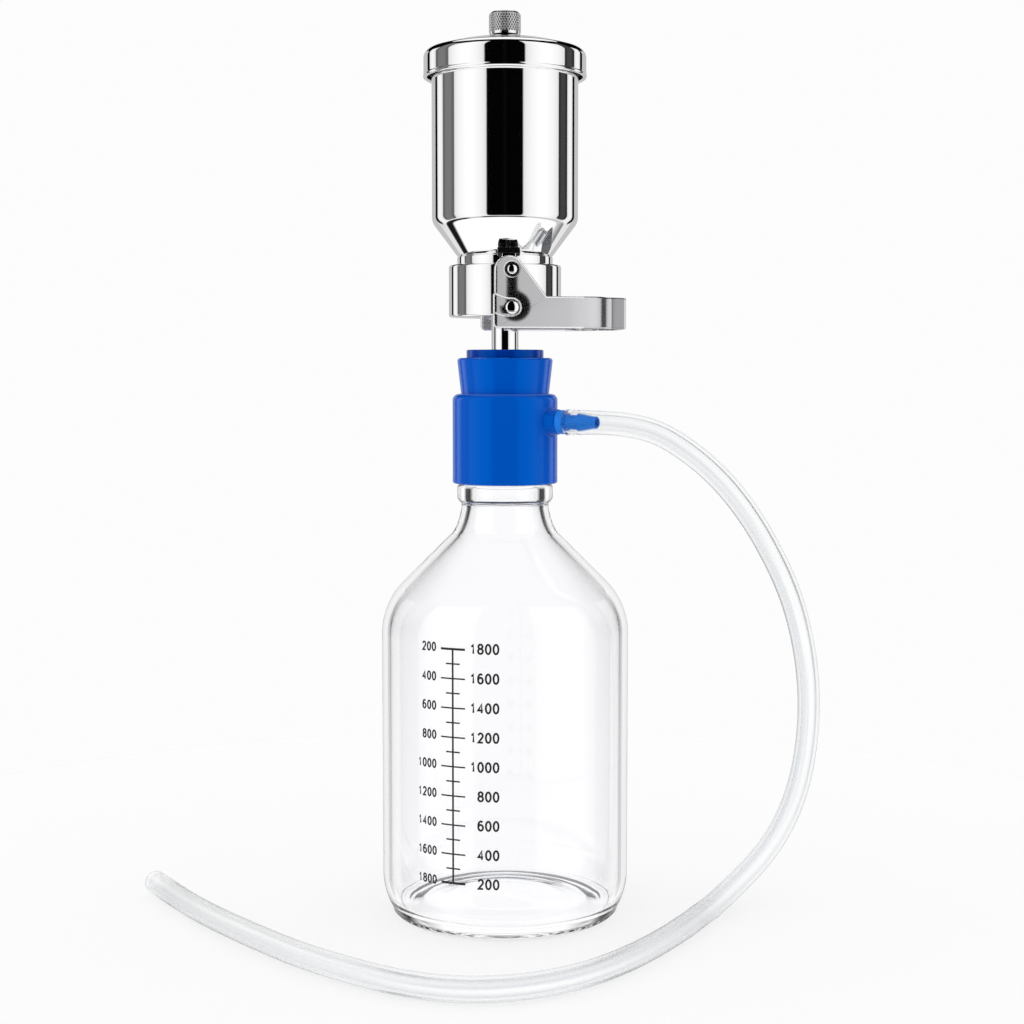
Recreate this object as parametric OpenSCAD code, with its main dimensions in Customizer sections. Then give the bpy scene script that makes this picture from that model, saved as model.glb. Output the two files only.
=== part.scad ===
// Vacuum filtration unit: a steel funnel with a clamp lever, on a two litre
// graduated bottle with a vacuum side arm and a clear hose.
// Millimetres. +Z is up, the origin is the middle of the bottle's foot, and
// the clamp lever points along +X.

/* [Bottle] */
// Outer radius of the bottle body
bottle_r = 68; // [60:1:72]
// Thickness of the glass wall
glass_wall = 4.8; // [2.6:0.1:4.8]
// Height at which the body turns into the shoulder
shoulder_z = 155.4; // [120:0.1:156]
// Radius of the bend from body to shoulder
shoulder_bend_r = 40; // [30:1:40]
// Outer radius of the neck at its narrowest
neck_r = 24; // [23:0.1:25]
// Radius of the bead under the mouth
bead_r = 26.3; // [25.5:0.1:27.5]
// Outer radius of the mouth, which the sleeve grips
mouth_r = 22.3; // [21.5:0.1:23]
// Radius of the way in through the mouth
mouth_bore_r = 18.8; // [17:0.1:19.5]
// Height of the rim of the mouth
mouth_z = 262; // [258:0.5:264]

/* [Graduation] */
// Volume between two long marks, as a height
grad_step = 15.5; // [10:0.1:15.5]
// Number of long marks
grad_marks = 9; // [5:1:9]
// Height of the lowest long mark
grad_z = 31.6; // [28:0.1:31.6]
// Direction of the scale, round the bottle
grad_azimuth = -119.9; // [-130:0.1:-110]

/* [Sleeve and side arm] */
// Outer radius of the blue sleeve
sleeve_r = 28.8; // [28:0.1:30]
// Lower end of the sleeve
sleeve_z0 = 238.2; // [238:0.1:239]
// Upper end of the sleeve
sleeve_z1 = 287.2; // [284:0.1:289]
// Height of the side arm's axis
arm_z = 272.2; // [270:0.1:273]
// Direction of the side arm, round the bottle
arm_azimuth = -36.5; // [-60:0.1:-36.5]
// Radius of the bore of the hose nipple
nipple_bore_r = 2.5; // [2:0.1:3]

/* [Stopper and stem] */
// Radius of the stopper at its top
stopper_top_r = 26.3; // [26:0.1:26.6]
// Radius of the stopper at the sleeve's mouth
stopper_seat_r = 24.1; // [23.8:0.1:24.4]
// Top of the stopper
stopper_z1 = 306.8; // [304:0.1:308]
// Radius of the disc on the stopper
disc_r = 21.1; // [18:0.1:22]
// Top of the disc
disc_z1 = 311.2; // [309:0.1:312]
// Outer radius of the drain stem
stem_r = 7.4; // [6.8:0.1:7.6]
// Wall of the drain stem
stem_wall = 2; // [1.5:0.1:2.4]

/* [Filter base] */
// Outer radius of the filter base
base_r = 30.6; // [30:0.1:30.6]
// Underside of the filter base
base_z0 = 328.9; // [328:0.1:329.5]
// Top of the filter base
base_z1 = 356.9; // [356:0.1:357]
// Radius of the support screen
screen_r = 24; // [23.5:0.1:24]
// Radius of one hole of the support screen
screen_hole_r = 0.9; // [0.5:0.1:1.1]

/* [Funnel and lid] */
// Radius of the funnel's foot
foot_r = 26; // [25.8:0.1:26.2]
// Outer radius of the funnel body
funnel_r = 39.7; // [38:0.1:40]
// Sheet thickness of the funnel and the lid
sheet = 1.2; // [0.8:0.1:1.4]
// Height of the funnel's rim
funnel_z1 = 468; // [466:0.1:468]
// Outer radius of the lid
lid_r = 44; // [43.8:0.1:44.5]
// Lower edge of the lid's skirt
lid_z0 = 457.2; // [455:0.1:460]

/* [Vent knob] */
// Radius of the knurled knob
knob_r = 8.6; // [8:0.1:9.5]
// Underside of the knob
knob_z0 = 480.4; // [480.3:0.1:481]
// Top of the knob
knob_z1 = 492.6; // [492:0.1:495]

/* [Clamp lever] */
// Thickness of the lever's sheet
lever_t = 2; // [1.5:0.1:2]
// Distance of the cheeks' inner faces from the middle
cheek_y = 33.3; // [33.3:0.1:34]
// Height of the pivot pins
pin_z = 353.2; // [353:0.1:353.4]
// Radius of the pivot pins
pin_r = 2.85; // [2.5:0.05:2.9]
// Height of the studs that the lever locks on
stud_z = 333.2; // [333:0.1:333.5]
// Radius of the studs
stud_r = 3.55; // [3:0.05:3.6]
// Lower edge of the lever's arms
arm_bottom_z = 322.2; // [321:0.1:323]
// Upper edge of the lever's arms
arm_top_z = 339.1; // [338:0.1:340]

/* [Hose] */
// Outer radius of the hose
hose_r = 6.35; // [6:0.05:6.4]
// Radius of the hose's bore
hose_bore_r = 4; // [3.5:0.1:4.4]

/* [Hidden] */

// Colours
GLASS = [0.80, 0.90, 0.92, 0.45];
BLUE = [0.00, 0.32, 0.78];
DEEP_BLUE = [0.00, 0.24, 0.62];
STEEL = [0.80, 0.80, 0.82];
DARK_STEEL = [0.28, 0.28, 0.30];
SEAL = [0.93, 0.93, 0.90];
INK = [0.08, 0.08, 0.09];
CLEAR = [0.88, 0.91, 0.93, 0.6];

// Smoothness of round solids
ROUND = 96;
SMALL_ROUND = 48;
// An overlap that makes a cut go right through
THROUGH = 1;

// Bottle foot: a flat ring of glass that the bottle stands on, inside a
// tight lower corner and a slow curve up to the body
foot_inner_r = 54;
heel_r = 5;
heel_centre_r = 58.5;
flank_r = 38;
flank_z = 22.5;
punt_r = 44;
punt_rise = 3;
punt_peak = 5;
floor_t = 4.2;
inner_heel_rise = 1.2;

// Neck, bead and mouth
neck_blend_r = 29.5;
neck_flare_r = 26.1;
neck_blend_z = 224.5;
bead_z0 = 228.2;
bead_round = 2.6;
rim_round = 1.2;

// Sleeve
sleeve_round = 3.6;
sleeve_lip = 0.1;
sleeve_lip_h = 2.6;
sleeve_lip_taper = 0.8;
chamber_r = 21;
chamber_z1 = 276.5;
sleeve_boss_r = 7;
sleeve_boss_end = 34;
nipple_tail_r = 4.3;
nipple_tail_start = chamber_r - 0.4;
nipple_collar_r = 6.5;
nipple_collar_end = 38.2;
barb_stem_r = 4;
barb_r = 4.8;
barb_start = 45.6;
barb_peak = 46.6;
barb_tip = 57;
barb_tip_r = 3.3;
barb_land = 1.8;

// Stem
stem_z0 = 248;
stem_socket = 4;

// Filter base and what lies in it, from below
funnel_bowl_r = 20.5;
drain_r = 5.5;
drain_z = 335;
seat_z = 345;
base_seal_t = 0.8;
screen_t = 2;
screen_pitch = 3.6;
screen_rim = 0.8;
membrane_r = 23.5;
membrane_t = 0.2;
funnel_seal_t = 1.8;
funnel_bore_r = 19.5;
recess_gap = 0.2;
screen_z = seat_z + base_seal_t;
recess_z = screen_z + screen_t;
funnel_z0 = recess_z + membrane_t + funnel_seal_t;
stem_z1 = base_z0 + stem_socket;

// Funnel
foot_z1 = 361.6;
foot_edge = 0.5;
cone_z0 = 362.2;
cone_r0 = 26.1;
cone_z1 = 380.3;
groove_r = 25.5;
cone_bend_r = 8;
rim_r = 41.6;
rim_h = 2;
cone_slope = (funnel_r - cone_r0) / (cone_z1 - cone_z0);

// Lid
lid_skirt_z1 = 468;
lid_corner_r = 4.4;
lid_corner_end = 73;
lid_top_r = 9;
lid_top_z = 478.5;
lip_roll_r = 1.15;
lip_proud = 0.25;
dome_bend_r = 21.2;
dome_bend_drop = 0.4;
lid_seal_t = 1.2;
lid_seal_r0 = 39.2;
lid_seal_r1 = 41.6;
lid_seat_r = 38.2;

// Vent
stub_flange_r = 6.3;
stub_flange_z1 = 480.1;
stub_r = 4;
stub_z0 = 474.4;
stub_z1 = 487.2;
stub_bore_r = 1.6;
knob_bore_r = 4.06;
knob_bore_z = 488.9;
knob_chamfer = 1.5;
vent_seal_r = 3.6;
vent_seal_z0 = 487.25;
vent_seal_z1 = 488.8;

// Hooks, pins and studs. The hooks stand a little to the left of the pins.
hook_x = -1.5;
hook_half_w = 3.7;
hook_y0 = 31;
hook_y1 = 33;
hook_z0 = 347.6;
roll_r = 2.6;
roll_half_w = 4.9;
roll_y = 32.1;
roll_z = 365.3;
lug_z0 = 357.1;
lug_z1 = 361.4;
screw_z = 359.2;
screw_r = 1.2;
screw_bore_r = 1.25;
screw_head_r = 2.4;
screw_head_h = 1.3;
screw_tip_y = 22.5;
screw_tip_gap = 0.1;
pin_end_y = 36;
pin_edge = 0.3;
pin_dish_r = 2.1;
pin_dish_depth = 0.8;
bush_r = 3.65;
bush_gap = 0.05;
bush_proud = 0.2;
pad_x0 = -9.6;
pad_x1 = 6;
pad_z0 = 329.4;
pad_z1 = 341;
stud_end_y = 36;
stud_bore_r = 2.3;
stud_bore_depth = 3;

// Lever outline, seen from the front, in x and z
lever_top_x = -1.6;
lever_top_z = 352.6;
lever_top_r = 7.9;
lever_left_x = -10.2;
lever_step_z = stud_z - 2;
lever_corner_r = 2.8;
slope_end_x = 18.4;
slot_half_w = 4.2;
slot_sweep = 40;

// Lever strip, seen from above: a straight arm, a bend inwards, a bend back,
// and the end of the handle
arm_end_x = 39.5;
bend_in_r = 11;
bend_in_angle = 60;
bend_run = 4;
bend_back_r = 16;
handle_angle = 25;
handle_run = 3;
handle_end_r = 5;

// Hose route: straight over the nipple, out and down in one curve, then
// along the floor in front of the bottle. The last points lie on the floor.
// Over the nipple the hose is stretched: its outside and its bore there.
hose_start = 38.6;
hose_on_nipple = [hose_start, barb_start, 48.5, 53, 58];
hose_swell = [6.9, 6.9, 6.6];
hose_bore_swell = [5.1, 5.1, 4.9, 4.3];
hose_sides = 12;
floor_z = hose_r + 0.05;
hose_path = [
    [61, -41, 271], [76, -46, 267], [90, -47.5, 259], [103, -47, 249], [125, -40, 226],
    [143, -28, 201], [158, -14, 175], [169, 0, 148], [176, 11, 118], [177, 17, 86],
    [170, 15, 55], [153, 5, 29], [130, -12, 13], [109, -36, floor_z], [91, -63, floor_z],
    [71, -90, floor_z], [49, -115, floor_z], [24, -136, floor_z], [-5, -149, floor_z],
    [-37, -150, floor_z], [-66, -137, floor_z], [-91, -115, floor_z],
    [-113, -91, floor_z], [-133, -64, floor_z], [-151, -37, floor_z],
    [-168, -9, floor_z], [-183, 20, floor_z], [-197, 50, floor_z]];

// Points of an arc round c, from angle a0 to a1, in n steps
function arc(c, r, a0, a1, n = 10) =
    [for (i = [0:n]) let (a = a0 + (a1 - a0) * i / n) c + r * [cos(a), sin(a)]];

// One point of a quadratic curve from a to c, drawn towards b
function curve_point(a, b, c, t) = (1 - t) * (1 - t) * a + 2 * t * (1 - t) * b + t * t * c;

// Outline of the bottle's side, from its heel to the top of its neck. inset
// is the distance inwards, 0 on the outer face.
flank_centre = [bottle_r - flank_r, flank_z];
heel_centre = [heel_centre_r, heel_r];
heel_angle = atan2(flank_centre[1] - heel_centre[1], heel_centre[0] - flank_centre[0]);
shoulder_centre = [bottle_r - shoulder_bend_r, shoulder_z];
shoulder_end = shoulder_centre + shoulder_bend_r * [cos(45), sin(45)];
slope_sum = shoulder_end[0] + shoulder_end[1];
function bottle_side(inset) = let (
        start = [neck_blend_r, slope_sum - neck_blend_r] - inset * [cos(45), sin(45)],
        corner = [neck_flare_r, slope_sum - neck_flare_r] - inset * [1, tan(22.5)],
        end = [neck_r - inset, neck_blend_z])
    concat(arc(heel_centre, heel_r - inset, -90, -heel_angle, 5),
        arc(flank_centre, flank_r - inset, -heel_angle, 0, 6),
        arc(shoulder_centre, shoulder_bend_r - inset, 0, 45, 12),
        [for (i = [0:8]) curve_point(start, corner, end, i / 8)]);

// Turns a closed outline of [radius, height] points about Z
module turned(outline, sides = ROUND) {
    rotate_extrude($fn = sides) polygon(outline);
}

// A ring of rectangular section
module ring(r0, r1, z0, z1, sides = ROUND) {
    turned([[r0, z0], [r1, z0], [r1, z1], [r0, z1]], sides);
}

// A blown bottle, its foot pushed up in the middle and its mouth plain
module bottle() {
    bead = concat([[neck_r, neck_blend_z], [neck_r, bead_z0]],
        arc([bead_r - bead_round, bead_z0 + bead_round], bead_round, -90, 0, 6),
        arc([bead_r - bead_round, sleeve_z0 - bead_round], bead_round, 0, 90, 6),
        [[mouth_r, sleeve_z0]]);
    rim = concat(arc([mouth_r - rim_round, mouth_z - rim_round], rim_round, 0, 90, 4),
        arc([mouth_bore_r + rim_round, mouth_z - rim_round], rim_round, 90, 180, 4),
        [[mouth_bore_r, bead_z0]]);
    inside = bottle_side(glass_wall);
    heel_points = 6;
    wall_inside = [for (i = [len(inside) - 1:-1:heel_points]) inside[i]];
    outside = bottle_side(0);
    color(GLASS) turned(concat(
        [[0, punt_peak], [punt_r, punt_rise], [foot_inner_r, 0]],
        outside, bead, rim, wall_inside,
        [[foot_inner_r, floor_t + inner_heel_rise], [punt_r, punt_rise + floor_t],
            [0, punt_peak + floor_t]]));
}

// Enamel scale: a long line with a mark for each step and each half step
module graduation() {
    enamel_t = 0.12;
    line_w = 1;
    long_mark_w = 13.8;
    short_mark_w = 7.9;
    mark_h = 0.8;
    end_mark_h = 1.2;
    last = grad_marks - 1;
    color(INK) intersection() {
        ring(bottle_r, bottle_r + enamel_t, grad_z - THROUGH, grad_z + last * grad_step + THROUGH);
        rotate([0, 0, grad_azimuth]) union() {
            translate([bottle_r - THROUGH * 2, -line_w / 2, grad_z])
                cube([THROUGH * 4, line_w, last * grad_step]);
            for (i = [0:last])
                scale_mark(grad_z + i * grad_step, long_mark_w,
                    i == 0 || i == last ? end_mark_h : mark_h);
            for (i = [0:last - 1])
                scale_mark(grad_z + (i + 0.5) * grad_step, short_mark_w, mark_h);
        }
    }
}

module scale_mark(z, w, h) {
    translate([bottle_r - THROUGH * 2, -w / 2, z - h / 2]) cube([THROUGH * 4, w, h]);
}

// Lays a piece that is modelled along +Z out along the side arm
module along_arm() {
    translate([0, 0, arm_z]) rotate([0, 0, arm_azimuth]) rotate([0, 90, 0]) children();
}

// Moulded silicone sleeve: it grips the bottle's mouth below and the stopper
// above, with an air space between them for the side arm
module adapter_sleeve() {
    seat_bottom_r = stopper_radius(chamber_z1);
    color(BLUE) difference() {
        union() {
            turned(concat(
                [[0, sleeve_z0], [sleeve_r + sleeve_lip, sleeve_z0],
                    [sleeve_r + sleeve_lip, sleeve_z0 + sleeve_lip_h],
                    [sleeve_r, sleeve_z0 + sleeve_lip_h + sleeve_lip_taper]],
                arc([sleeve_r - sleeve_round, sleeve_z1 - sleeve_round], sleeve_round, 0, 90, 6),
                [[0, sleeve_z1]]));
            along_arm() cylinder(r = sleeve_boss_r, h = sleeve_boss_end, $fn = SMALL_ROUND);
        }
        turned([[0, sleeve_z0 - THROUGH], [mouth_r, sleeve_z0 - THROUGH], [mouth_r, mouth_z],
            [chamber_r, mouth_z], [chamber_r, chamber_z1], [seat_bottom_r, chamber_z1],
            [stopper_seat_r, sleeve_z1], [stopper_seat_r, sleeve_z1 + THROUGH],
            [0, sleeve_z1 + THROUGH]]);
        along_arm() cylinder(r = nipple_tail_r, h = sleeve_boss_end + THROUGH, $fn = SMALL_ROUND);
    }
}

// Turned hose nipple: a tail in the sleeve, a collar against the boss, and a
// barb for the hose
module hose_nipple() {
    color(DEEP_BLUE) along_arm() turned([
        [nipple_bore_r, nipple_tail_start], [nipple_tail_r, nipple_tail_start],
        [nipple_tail_r, sleeve_boss_end], [nipple_collar_r, sleeve_boss_end],
        [nipple_collar_r, nipple_collar_end], [barb_stem_r, nipple_collar_end],
        [barb_stem_r, barb_start], [barb_r, barb_peak], [barb_tip_r, barb_tip - barb_land],
        [barb_tip_r, barb_tip], [nipple_bore_r, barb_tip]], SMALL_ROUND);
}

// Radius of the stopper's tapered side at height z
function stopper_radius(z) = stopper_seat_r
    + (z - sleeve_z1) * (stopper_top_r - stopper_seat_r) / (stopper_z1 - sleeve_z1);

// Tapered silicone plug with a hole for the stem
module stopper() {
    top_round = 1.6;
    arc_start = 15;
    color(BLUE) turned(concat(
        [[stem_r, chamber_z1], [stopper_radius(chamber_z1), chamber_z1],
            [stopper_radius(stopper_z1 - top_round), stopper_z1 - top_round]],
        arc([stopper_top_r - top_round, stopper_z1 - top_round], top_round, arc_start, 90, 5),
        [[stem_r, stopper_z1]]));
}

// Flat disc that spreads the base's weight on the stopper
module stopper_disc() {
    color(DEEP_BLUE) ring(stem_r, disc_r, stopper_z1, disc_z1);
}

// Steel tube from the filter base down into the bottle's mouth
module drain_stem() {
    color(STEEL) ring(stem_r - stem_wall, stem_r, stem_z0, stem_z1);
}

// Steel base: a bowl over the drain, a seat for the screen and a recess for
// the funnel's foot
module filter_base() {
    edge = 1.2;
    color(STEEL) turned(concat(
        [[stem_r, base_z0], [base_r - edge, base_z0], [base_r, base_z0 + edge]],
        arc([base_r - edge, base_z1 - edge], edge, 0, 90, 4),
        [[foot_r + recess_gap, base_z1], [foot_r + recess_gap, recess_z], [screen_r, recess_z],
            [screen_r, seat_z], [funnel_bowl_r, seat_z], [drain_r, drain_z],
            [drain_r, stem_z1], [stem_r, stem_z1]]));
}

// A stud on a welded pad; the lever's slot locks round it
module lock_stud() {
    color(STEEL) difference() {
        union() {
            translate([pad_x0, -hook_y1, pad_z0])
                cube([pad_x1 - pad_x0, hook_y1 - foot_r, pad_z1 - pad_z0]);
            translate([0, -foot_r, stud_z]) rotate([90, 0, 0])
                cylinder(r = stud_r, h = stud_end_y - foot_r, $fn = SMALL_ROUND);
        }
        cylinder(r = base_r, h = 2 * base_z1, $fn = ROUND);
        translate([0, -stud_end_y - THROUGH, stud_z]) rotate([-90, 0, 0])
            cylinder(r = stud_bore_r, h = stud_bore_depth + THROUGH, $fn = SMALL_ROUND);
    }
}

module base_gasket() {
    color(SEAL) ring(funnel_bowl_r, screen_r, seat_z, screen_z);
}

// Perforated steel disc that carries the membrane
module support_screen() {
    reach = funnel_bowl_r - screen_hole_r - screen_rim;
    rows = floor(reach / (screen_pitch * sin(60)));
    color(STEEL) difference() {
        translate([0, 0, screen_z]) cylinder(r = screen_r, h = screen_t, $fn = ROUND);
        for (row = [-rows:rows], column = [-rows - 1:rows + 1]) {
            x = (column + (row % 2 == 0 ? 0 : 0.5)) * screen_pitch;
            y = row * screen_pitch * sin(60);
            if (norm([x, y]) < reach)
                translate([x, y, screen_z - THROUGH])
                    cylinder(r = screen_hole_r, h = screen_t + 2 * THROUGH, $fn = 24);
        }
    }
}

module membrane_filter() {
    color("white") translate([0, 0, recess_z])
        cylinder(r = membrane_r, h = membrane_t, $fn = ROUND);
}

module funnel_gasket() {
    color(SEAL) ring(funnel_bore_r, foot_r, recess_z + membrane_t, funnel_z0);
}

// Spun steel funnel on a turned foot, its rim rolled outwards for the lid.
// The foot is tapped at the front and the back for the hook screws.
module funnel() {
    inner_r = funnel_r - sheet;
    bend_half = atan(cone_slope) / 2;
    bend_t = cone_bend_r * tan(bend_half);
    cone_angle = atan(1 / cone_slope);
    corner = [funnel_r, cone_z1];
    bend_start = corner - bend_t * [sin(90 - cone_angle), sin(cone_angle)];
    bend_end = corner + [0, bend_t];
    inner_corner_z = cone_z1 + sheet * (norm([1, cone_slope]) - 1) / cone_slope;
    bowl_bottom_z = inner_corner_z - (inner_r - funnel_bore_r) / cone_slope;
    color(STEEL) difference() {
        turned(concat(
            [[funnel_bore_r, funnel_z0], [foot_r, funnel_z0], [foot_r, foot_z1 - foot_edge],
                [foot_r - foot_edge, foot_z1], [groove_r, foot_z1], [groove_r, cone_z0],
                [cone_r0, cone_z0]],
            [for (i = [0:4]) curve_point(bend_start, corner, bend_end, i / 4)],
            [[funnel_r, funnel_z1 - rim_h], [rim_r, funnel_z1 - rim_h],
                [rim_r, funnel_z1], [inner_r, funnel_z1], [inner_r, inner_corner_z],
                [funnel_bore_r, bowl_bottom_z]]));
        for (side = [0, 1]) mirror([0, side, 0])
            translate([hook_x, -screw_tip_y, screw_z]) rotate([90, 0, 0])
                cylinder(r = screw_bore_r, h = foot_r, $fn = 24);
    }
}

// A strap that carries the lever's pivot: screwed to the funnel's foot, with
// its top edge rolled
module hook() {
    difference() {
        union() {
            translate([hook_x - hook_half_w, -hook_y1, hook_z0])
                cube([2 * hook_half_w, hook_y1 - hook_y0, roll_z - hook_z0]);
            translate([hook_x - hook_half_w, -hook_y0, lug_z0])
                cube([2 * hook_half_w, hook_y0, lug_z1 - lug_z0]);
            translate([hook_x - roll_half_w, -roll_y, roll_z]) rotate([0, 90, 0])
                cylinder(r = roll_r, h = 2 * roll_half_w, $fn = SMALL_ROUND);
        }
        cylinder(r = foot_r, h = 2 * roll_z, $fn = ROUND);
        translate([0, -hook_y0 + THROUGH, pin_z]) rotate([90, 0, 0])
            cylinder(r = pin_r, h = hook_y0, $fn = SMALL_ROUND);
        translate([hook_x, 0, screw_z]) rotate([90, 0, 0])
            cylinder(r = screw_bore_r, h = 2 * hook_y1, $fn = 24);
        translate([hook_x, -hook_y1 + screw_head_h, screw_z]) rotate([90, 0, 0])
            cylinder(r = screw_head_r, h = hook_y1, $fn = SMALL_ROUND);
    }
}

module hook_screw() {
    socket_r = 1;
    socket_depth = 0.8;
    translate([hook_x, 0, screw_z]) rotate([90, 0, 0]) difference() {
        union() {
            translate([0, 0, screw_tip_y + screw_tip_gap])
                cylinder(r = screw_r, h = hook_y1 - screw_head_h - screw_tip_y, $fn = 24);
            translate([0, 0, hook_y1 - screw_head_h])
                cylinder(r = screw_head_r, h = screw_head_h, $fn = SMALL_ROUND);
        }
        translate([0, 0, hook_y1 - socket_depth])
            cylinder(r = socket_r, h = hook_y1, $fn = 6);
    }
}

// A pivot pin pressed into its hook, with a dished end
module pivot_pin() {
    translate([0, 0, pin_z]) rotate([90, 0, 0])
        turned([[0, hook_y0], [pin_r, hook_y0], [pin_r, pin_end_y - pin_edge],
            [pin_r - pin_edge, pin_end_y], [pin_dish_r, pin_end_y],
            [0, pin_end_y - pin_dish_depth]], SMALL_ROUND);
}

// Plastic bush pressed into the lever, which turns on the pin
module pivot_bush() {
    translate([0, 0, pin_z]) rotate([90, 0, 0])
        ring(pin_r + bush_gap, bush_r, cheek_y, cheek_y + lever_t + bush_proud, SMALL_ROUND);
}

// Outline of one cheek of the lever with the first part of its arm, in x and
// z. The slope runs from the rounded top down to the arm.
slope_top = [lever_top_x, lever_top_z];
slope_to = [slope_end_x, arm_top_z] - slope_top;
slope_angle = atan2(slope_to[1], slope_to[0]) + acos(lever_top_r / norm(slope_to));
function cheek_outline() = concat(
    [[arm_end_x + THROUGH, arm_bottom_z], [arm_end_x + THROUGH, arm_top_z],
        [slope_end_x, arm_top_z]],
    arc(slope_top, lever_top_r, slope_angle, 180, 10),
    [[lever_top_x - lever_top_r, stud_z], [lever_left_x, lever_step_z]],
    arc([lever_left_x + lever_corner_r, arm_bottom_z + lever_corner_r], lever_corner_r,
        180, 270, 5));

// The slot follows a circle about the pivot, so the stud slips out of it as
// the lever swings up, and it is open towards the left
module lock_slot(h) {
    radius = pin_z - stud_z;
    translate([0, -radius, 0]) cylinder(r = slot_half_w, h = h, $fn = SMALL_ROUND);
    linear_extrude(h) polygon(concat(
        arc([0, 0], radius + slot_half_w, -90, -90 - slot_sweep, 16),
        arc([0, 0], radius - slot_half_w, -90 - slot_sweep, -90, 16)));
}

module cheek() {
    difference() {
        translate([0, -cheek_y, 0]) rotate([90, 0, 0]) linear_extrude(lever_t)
            polygon(cheek_outline());
        translate([0, -cheek_y + THROUGH, pin_z]) rotate([90, 0, 0]) {
            cylinder(r = bush_r, h = lever_t + 2 * THROUGH, $fn = SMALL_ROUND);
            lock_slot(lever_t + 2 * THROUGH);
        }
    }
}

// Half of the strip's middle line, seen from above, from the front arm to
// the middle of the handle
bend_1 = [arm_end_x, -cheek_y - lever_t / 2];
bend_1_end = bend_1 + bend_in_r * [sin(bend_in_angle), 1 - cos(bend_in_angle)];
bend_2 = bend_1_end + bend_run * [cos(bend_in_angle), sin(bend_in_angle)];
bend_2_end = bend_2 + bend_back_r * [sin(bend_in_angle) - sin(handle_angle),
    cos(handle_angle) - cos(bend_in_angle)];
bend_3 = bend_2_end + handle_run * [cos(handle_angle), sin(handle_angle)];
bend_2_centre = bend_2 + bend_back_r * [sin(bend_in_angle), -cos(bend_in_angle)];
bend_3_centre = bend_3 + handle_end_r * [-sin(handle_angle), cos(handle_angle)];
function strip_side(offset) = concat(
    [bend_1 + [0, -offset]],
    arc(bend_1 + [0, bend_in_r], bend_in_r + offset, -90, bend_in_angle - 90, 8),
    arc(bend_2_centre, bend_back_r - offset, 90 + bend_in_angle, 90 + handle_angle, 6),
    arc(bend_3_centre, handle_end_r + offset, handle_angle - 90, 0, 6));
function reversed(points) = [for (i = [len(points) - 1:-1:0]) points[i]];
function mirrored(points) = [for (p = reversed(points)) [p[0], -p[1]]];

// Bent sheet lever: two cheeks and one strip, bent from a single blank
module clamp_lever() {
    outer = strip_side(lever_t / 2);
    inner = strip_side(-lever_t / 2);
    color(STEEL) union() {
        cheek();
        mirror([0, 1, 0]) cheek();
        translate([0, 0, arm_bottom_z]) linear_extrude(arm_top_z - arm_bottom_z)
            polygon(concat(outer, mirrored(outer), reversed(mirrored(inner)), reversed(inner)));
    }
}

module lid_gasket() {
    color(SEAL) ring(lid_seal_r0, lid_seal_r1, funnel_z1, funnel_z1 + lid_seal_t);
}

// Pressed lid with a low dome and a rolled lower edge
module lid() {
    inner_r = lid_r - sheet;
    roll = [lid_r + lip_proud - lip_roll_r, lid_z0 + lip_roll_r];
    roll_start = acos((inner_r - roll[0]) / lip_roll_r);
    roll_end = 360 + acos((lid_r - roll[0]) / lip_roll_r);
    corner = arc([lid_r - lid_corner_r, lid_skirt_z1], lid_corner_r, 0, lid_corner_end, 6);
    dome = function (inset) [for (i = [0:6]) curve_point(
        corner[len(corner) - 1] - [0, inset],
        [dome_bend_r, lid_top_z - dome_bend_drop - inset],
        [lid_top_r, lid_top_z - inset], i / 6)];
    outside = dome(0);
    under = dome(sheet);
    color(STEEL) turned(concat(
        arc(roll, lip_roll_r, roll_start, roll_end, 12),
        corner, [for (i = [1:len(outside) - 1]) outside[i]],
        [[stub_r, lid_top_z], [stub_r, lid_top_z - sheet]],
        [for (i = [len(under) - 1:-1:1]) under[i]],
        [[lid_seat_r, funnel_z1 + lid_seal_t], [inner_r, funnel_z1 + lid_seal_t]]));
}

// Threaded vent tube riveted into the lid
module vent_stub() {
    color(DARK_STEEL) turned([[stub_bore_r, stub_z0], [stub_r, stub_z0], [stub_r, lid_top_z],
        [stub_flange_r, lid_top_z], [stub_flange_r, stub_flange_z1], [stub_r, stub_flange_z1],
        [stub_r, stub_z1], [stub_bore_r, stub_z1]], SMALL_ROUND);
}

// Seal that the knob presses on the end of the vent tube
module vent_seal() {
    color(INK) translate([0, 0, vent_seal_z0])
        cylinder(r = vent_seal_r, h = vent_seal_z1 - vent_seal_z0, $fn = SMALL_ROUND);
}

// Knob that screws up and down on the vent tube
module vent_knob() {
    color(STEEL) turned([[0, knob_bore_z], [knob_bore_r, knob_bore_z], [knob_bore_r, knob_z0],
        [knob_r - knob_chamfer, knob_z0], [knob_r, knob_z0 + knob_chamfer],
        [knob_r, knob_z1 - knob_chamfer], [knob_r - knob_chamfer, knob_z1], [0, knob_z1]]);
}

// The hose is a tube of flat-sided rings square to its route
arm_way = [cos(arm_azimuth), sin(arm_azimuth), 0];
function arm_point(distance) = distance * arm_way + [0, 0, arm_z];
hose_route = concat([for (distance = hose_on_nipple) arm_point(distance)], hose_path);
function hose_outer_r(i) = i < len(hose_swell) ? hose_swell[i] : hose_r;
function hose_inner_r(i) = i < len(hose_bore_swell) ? hose_bore_swell[i] : hose_bore_r;
function unit(v) = v / norm(v);
function hose_way(i) = unit(
    (i == len(hose_route) - 1 ? hose_route[i] : hose_route[i + 1])
    - (i == 0 ? hose_route[i] : hose_route[i - 1]));
// The frame of each ring is the last one's, turned as little as possible
function hose_sides_from(i, side) = i == len(hose_route) ? [] :
    let (way = hose_way(i), square = unit(side - (side * way) * way))
    concat([square], hose_sides_from(i + 1, square));
function hose_ring(i, side, r) = let (up = cross(hose_way(i), side))
    [for (k = [0:hose_sides - 1]) let (a = 360 * k / hose_sides)
        hose_route[i] + r / cos(180 / hose_sides) * (cos(a) * side + sin(a) * up)];

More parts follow.
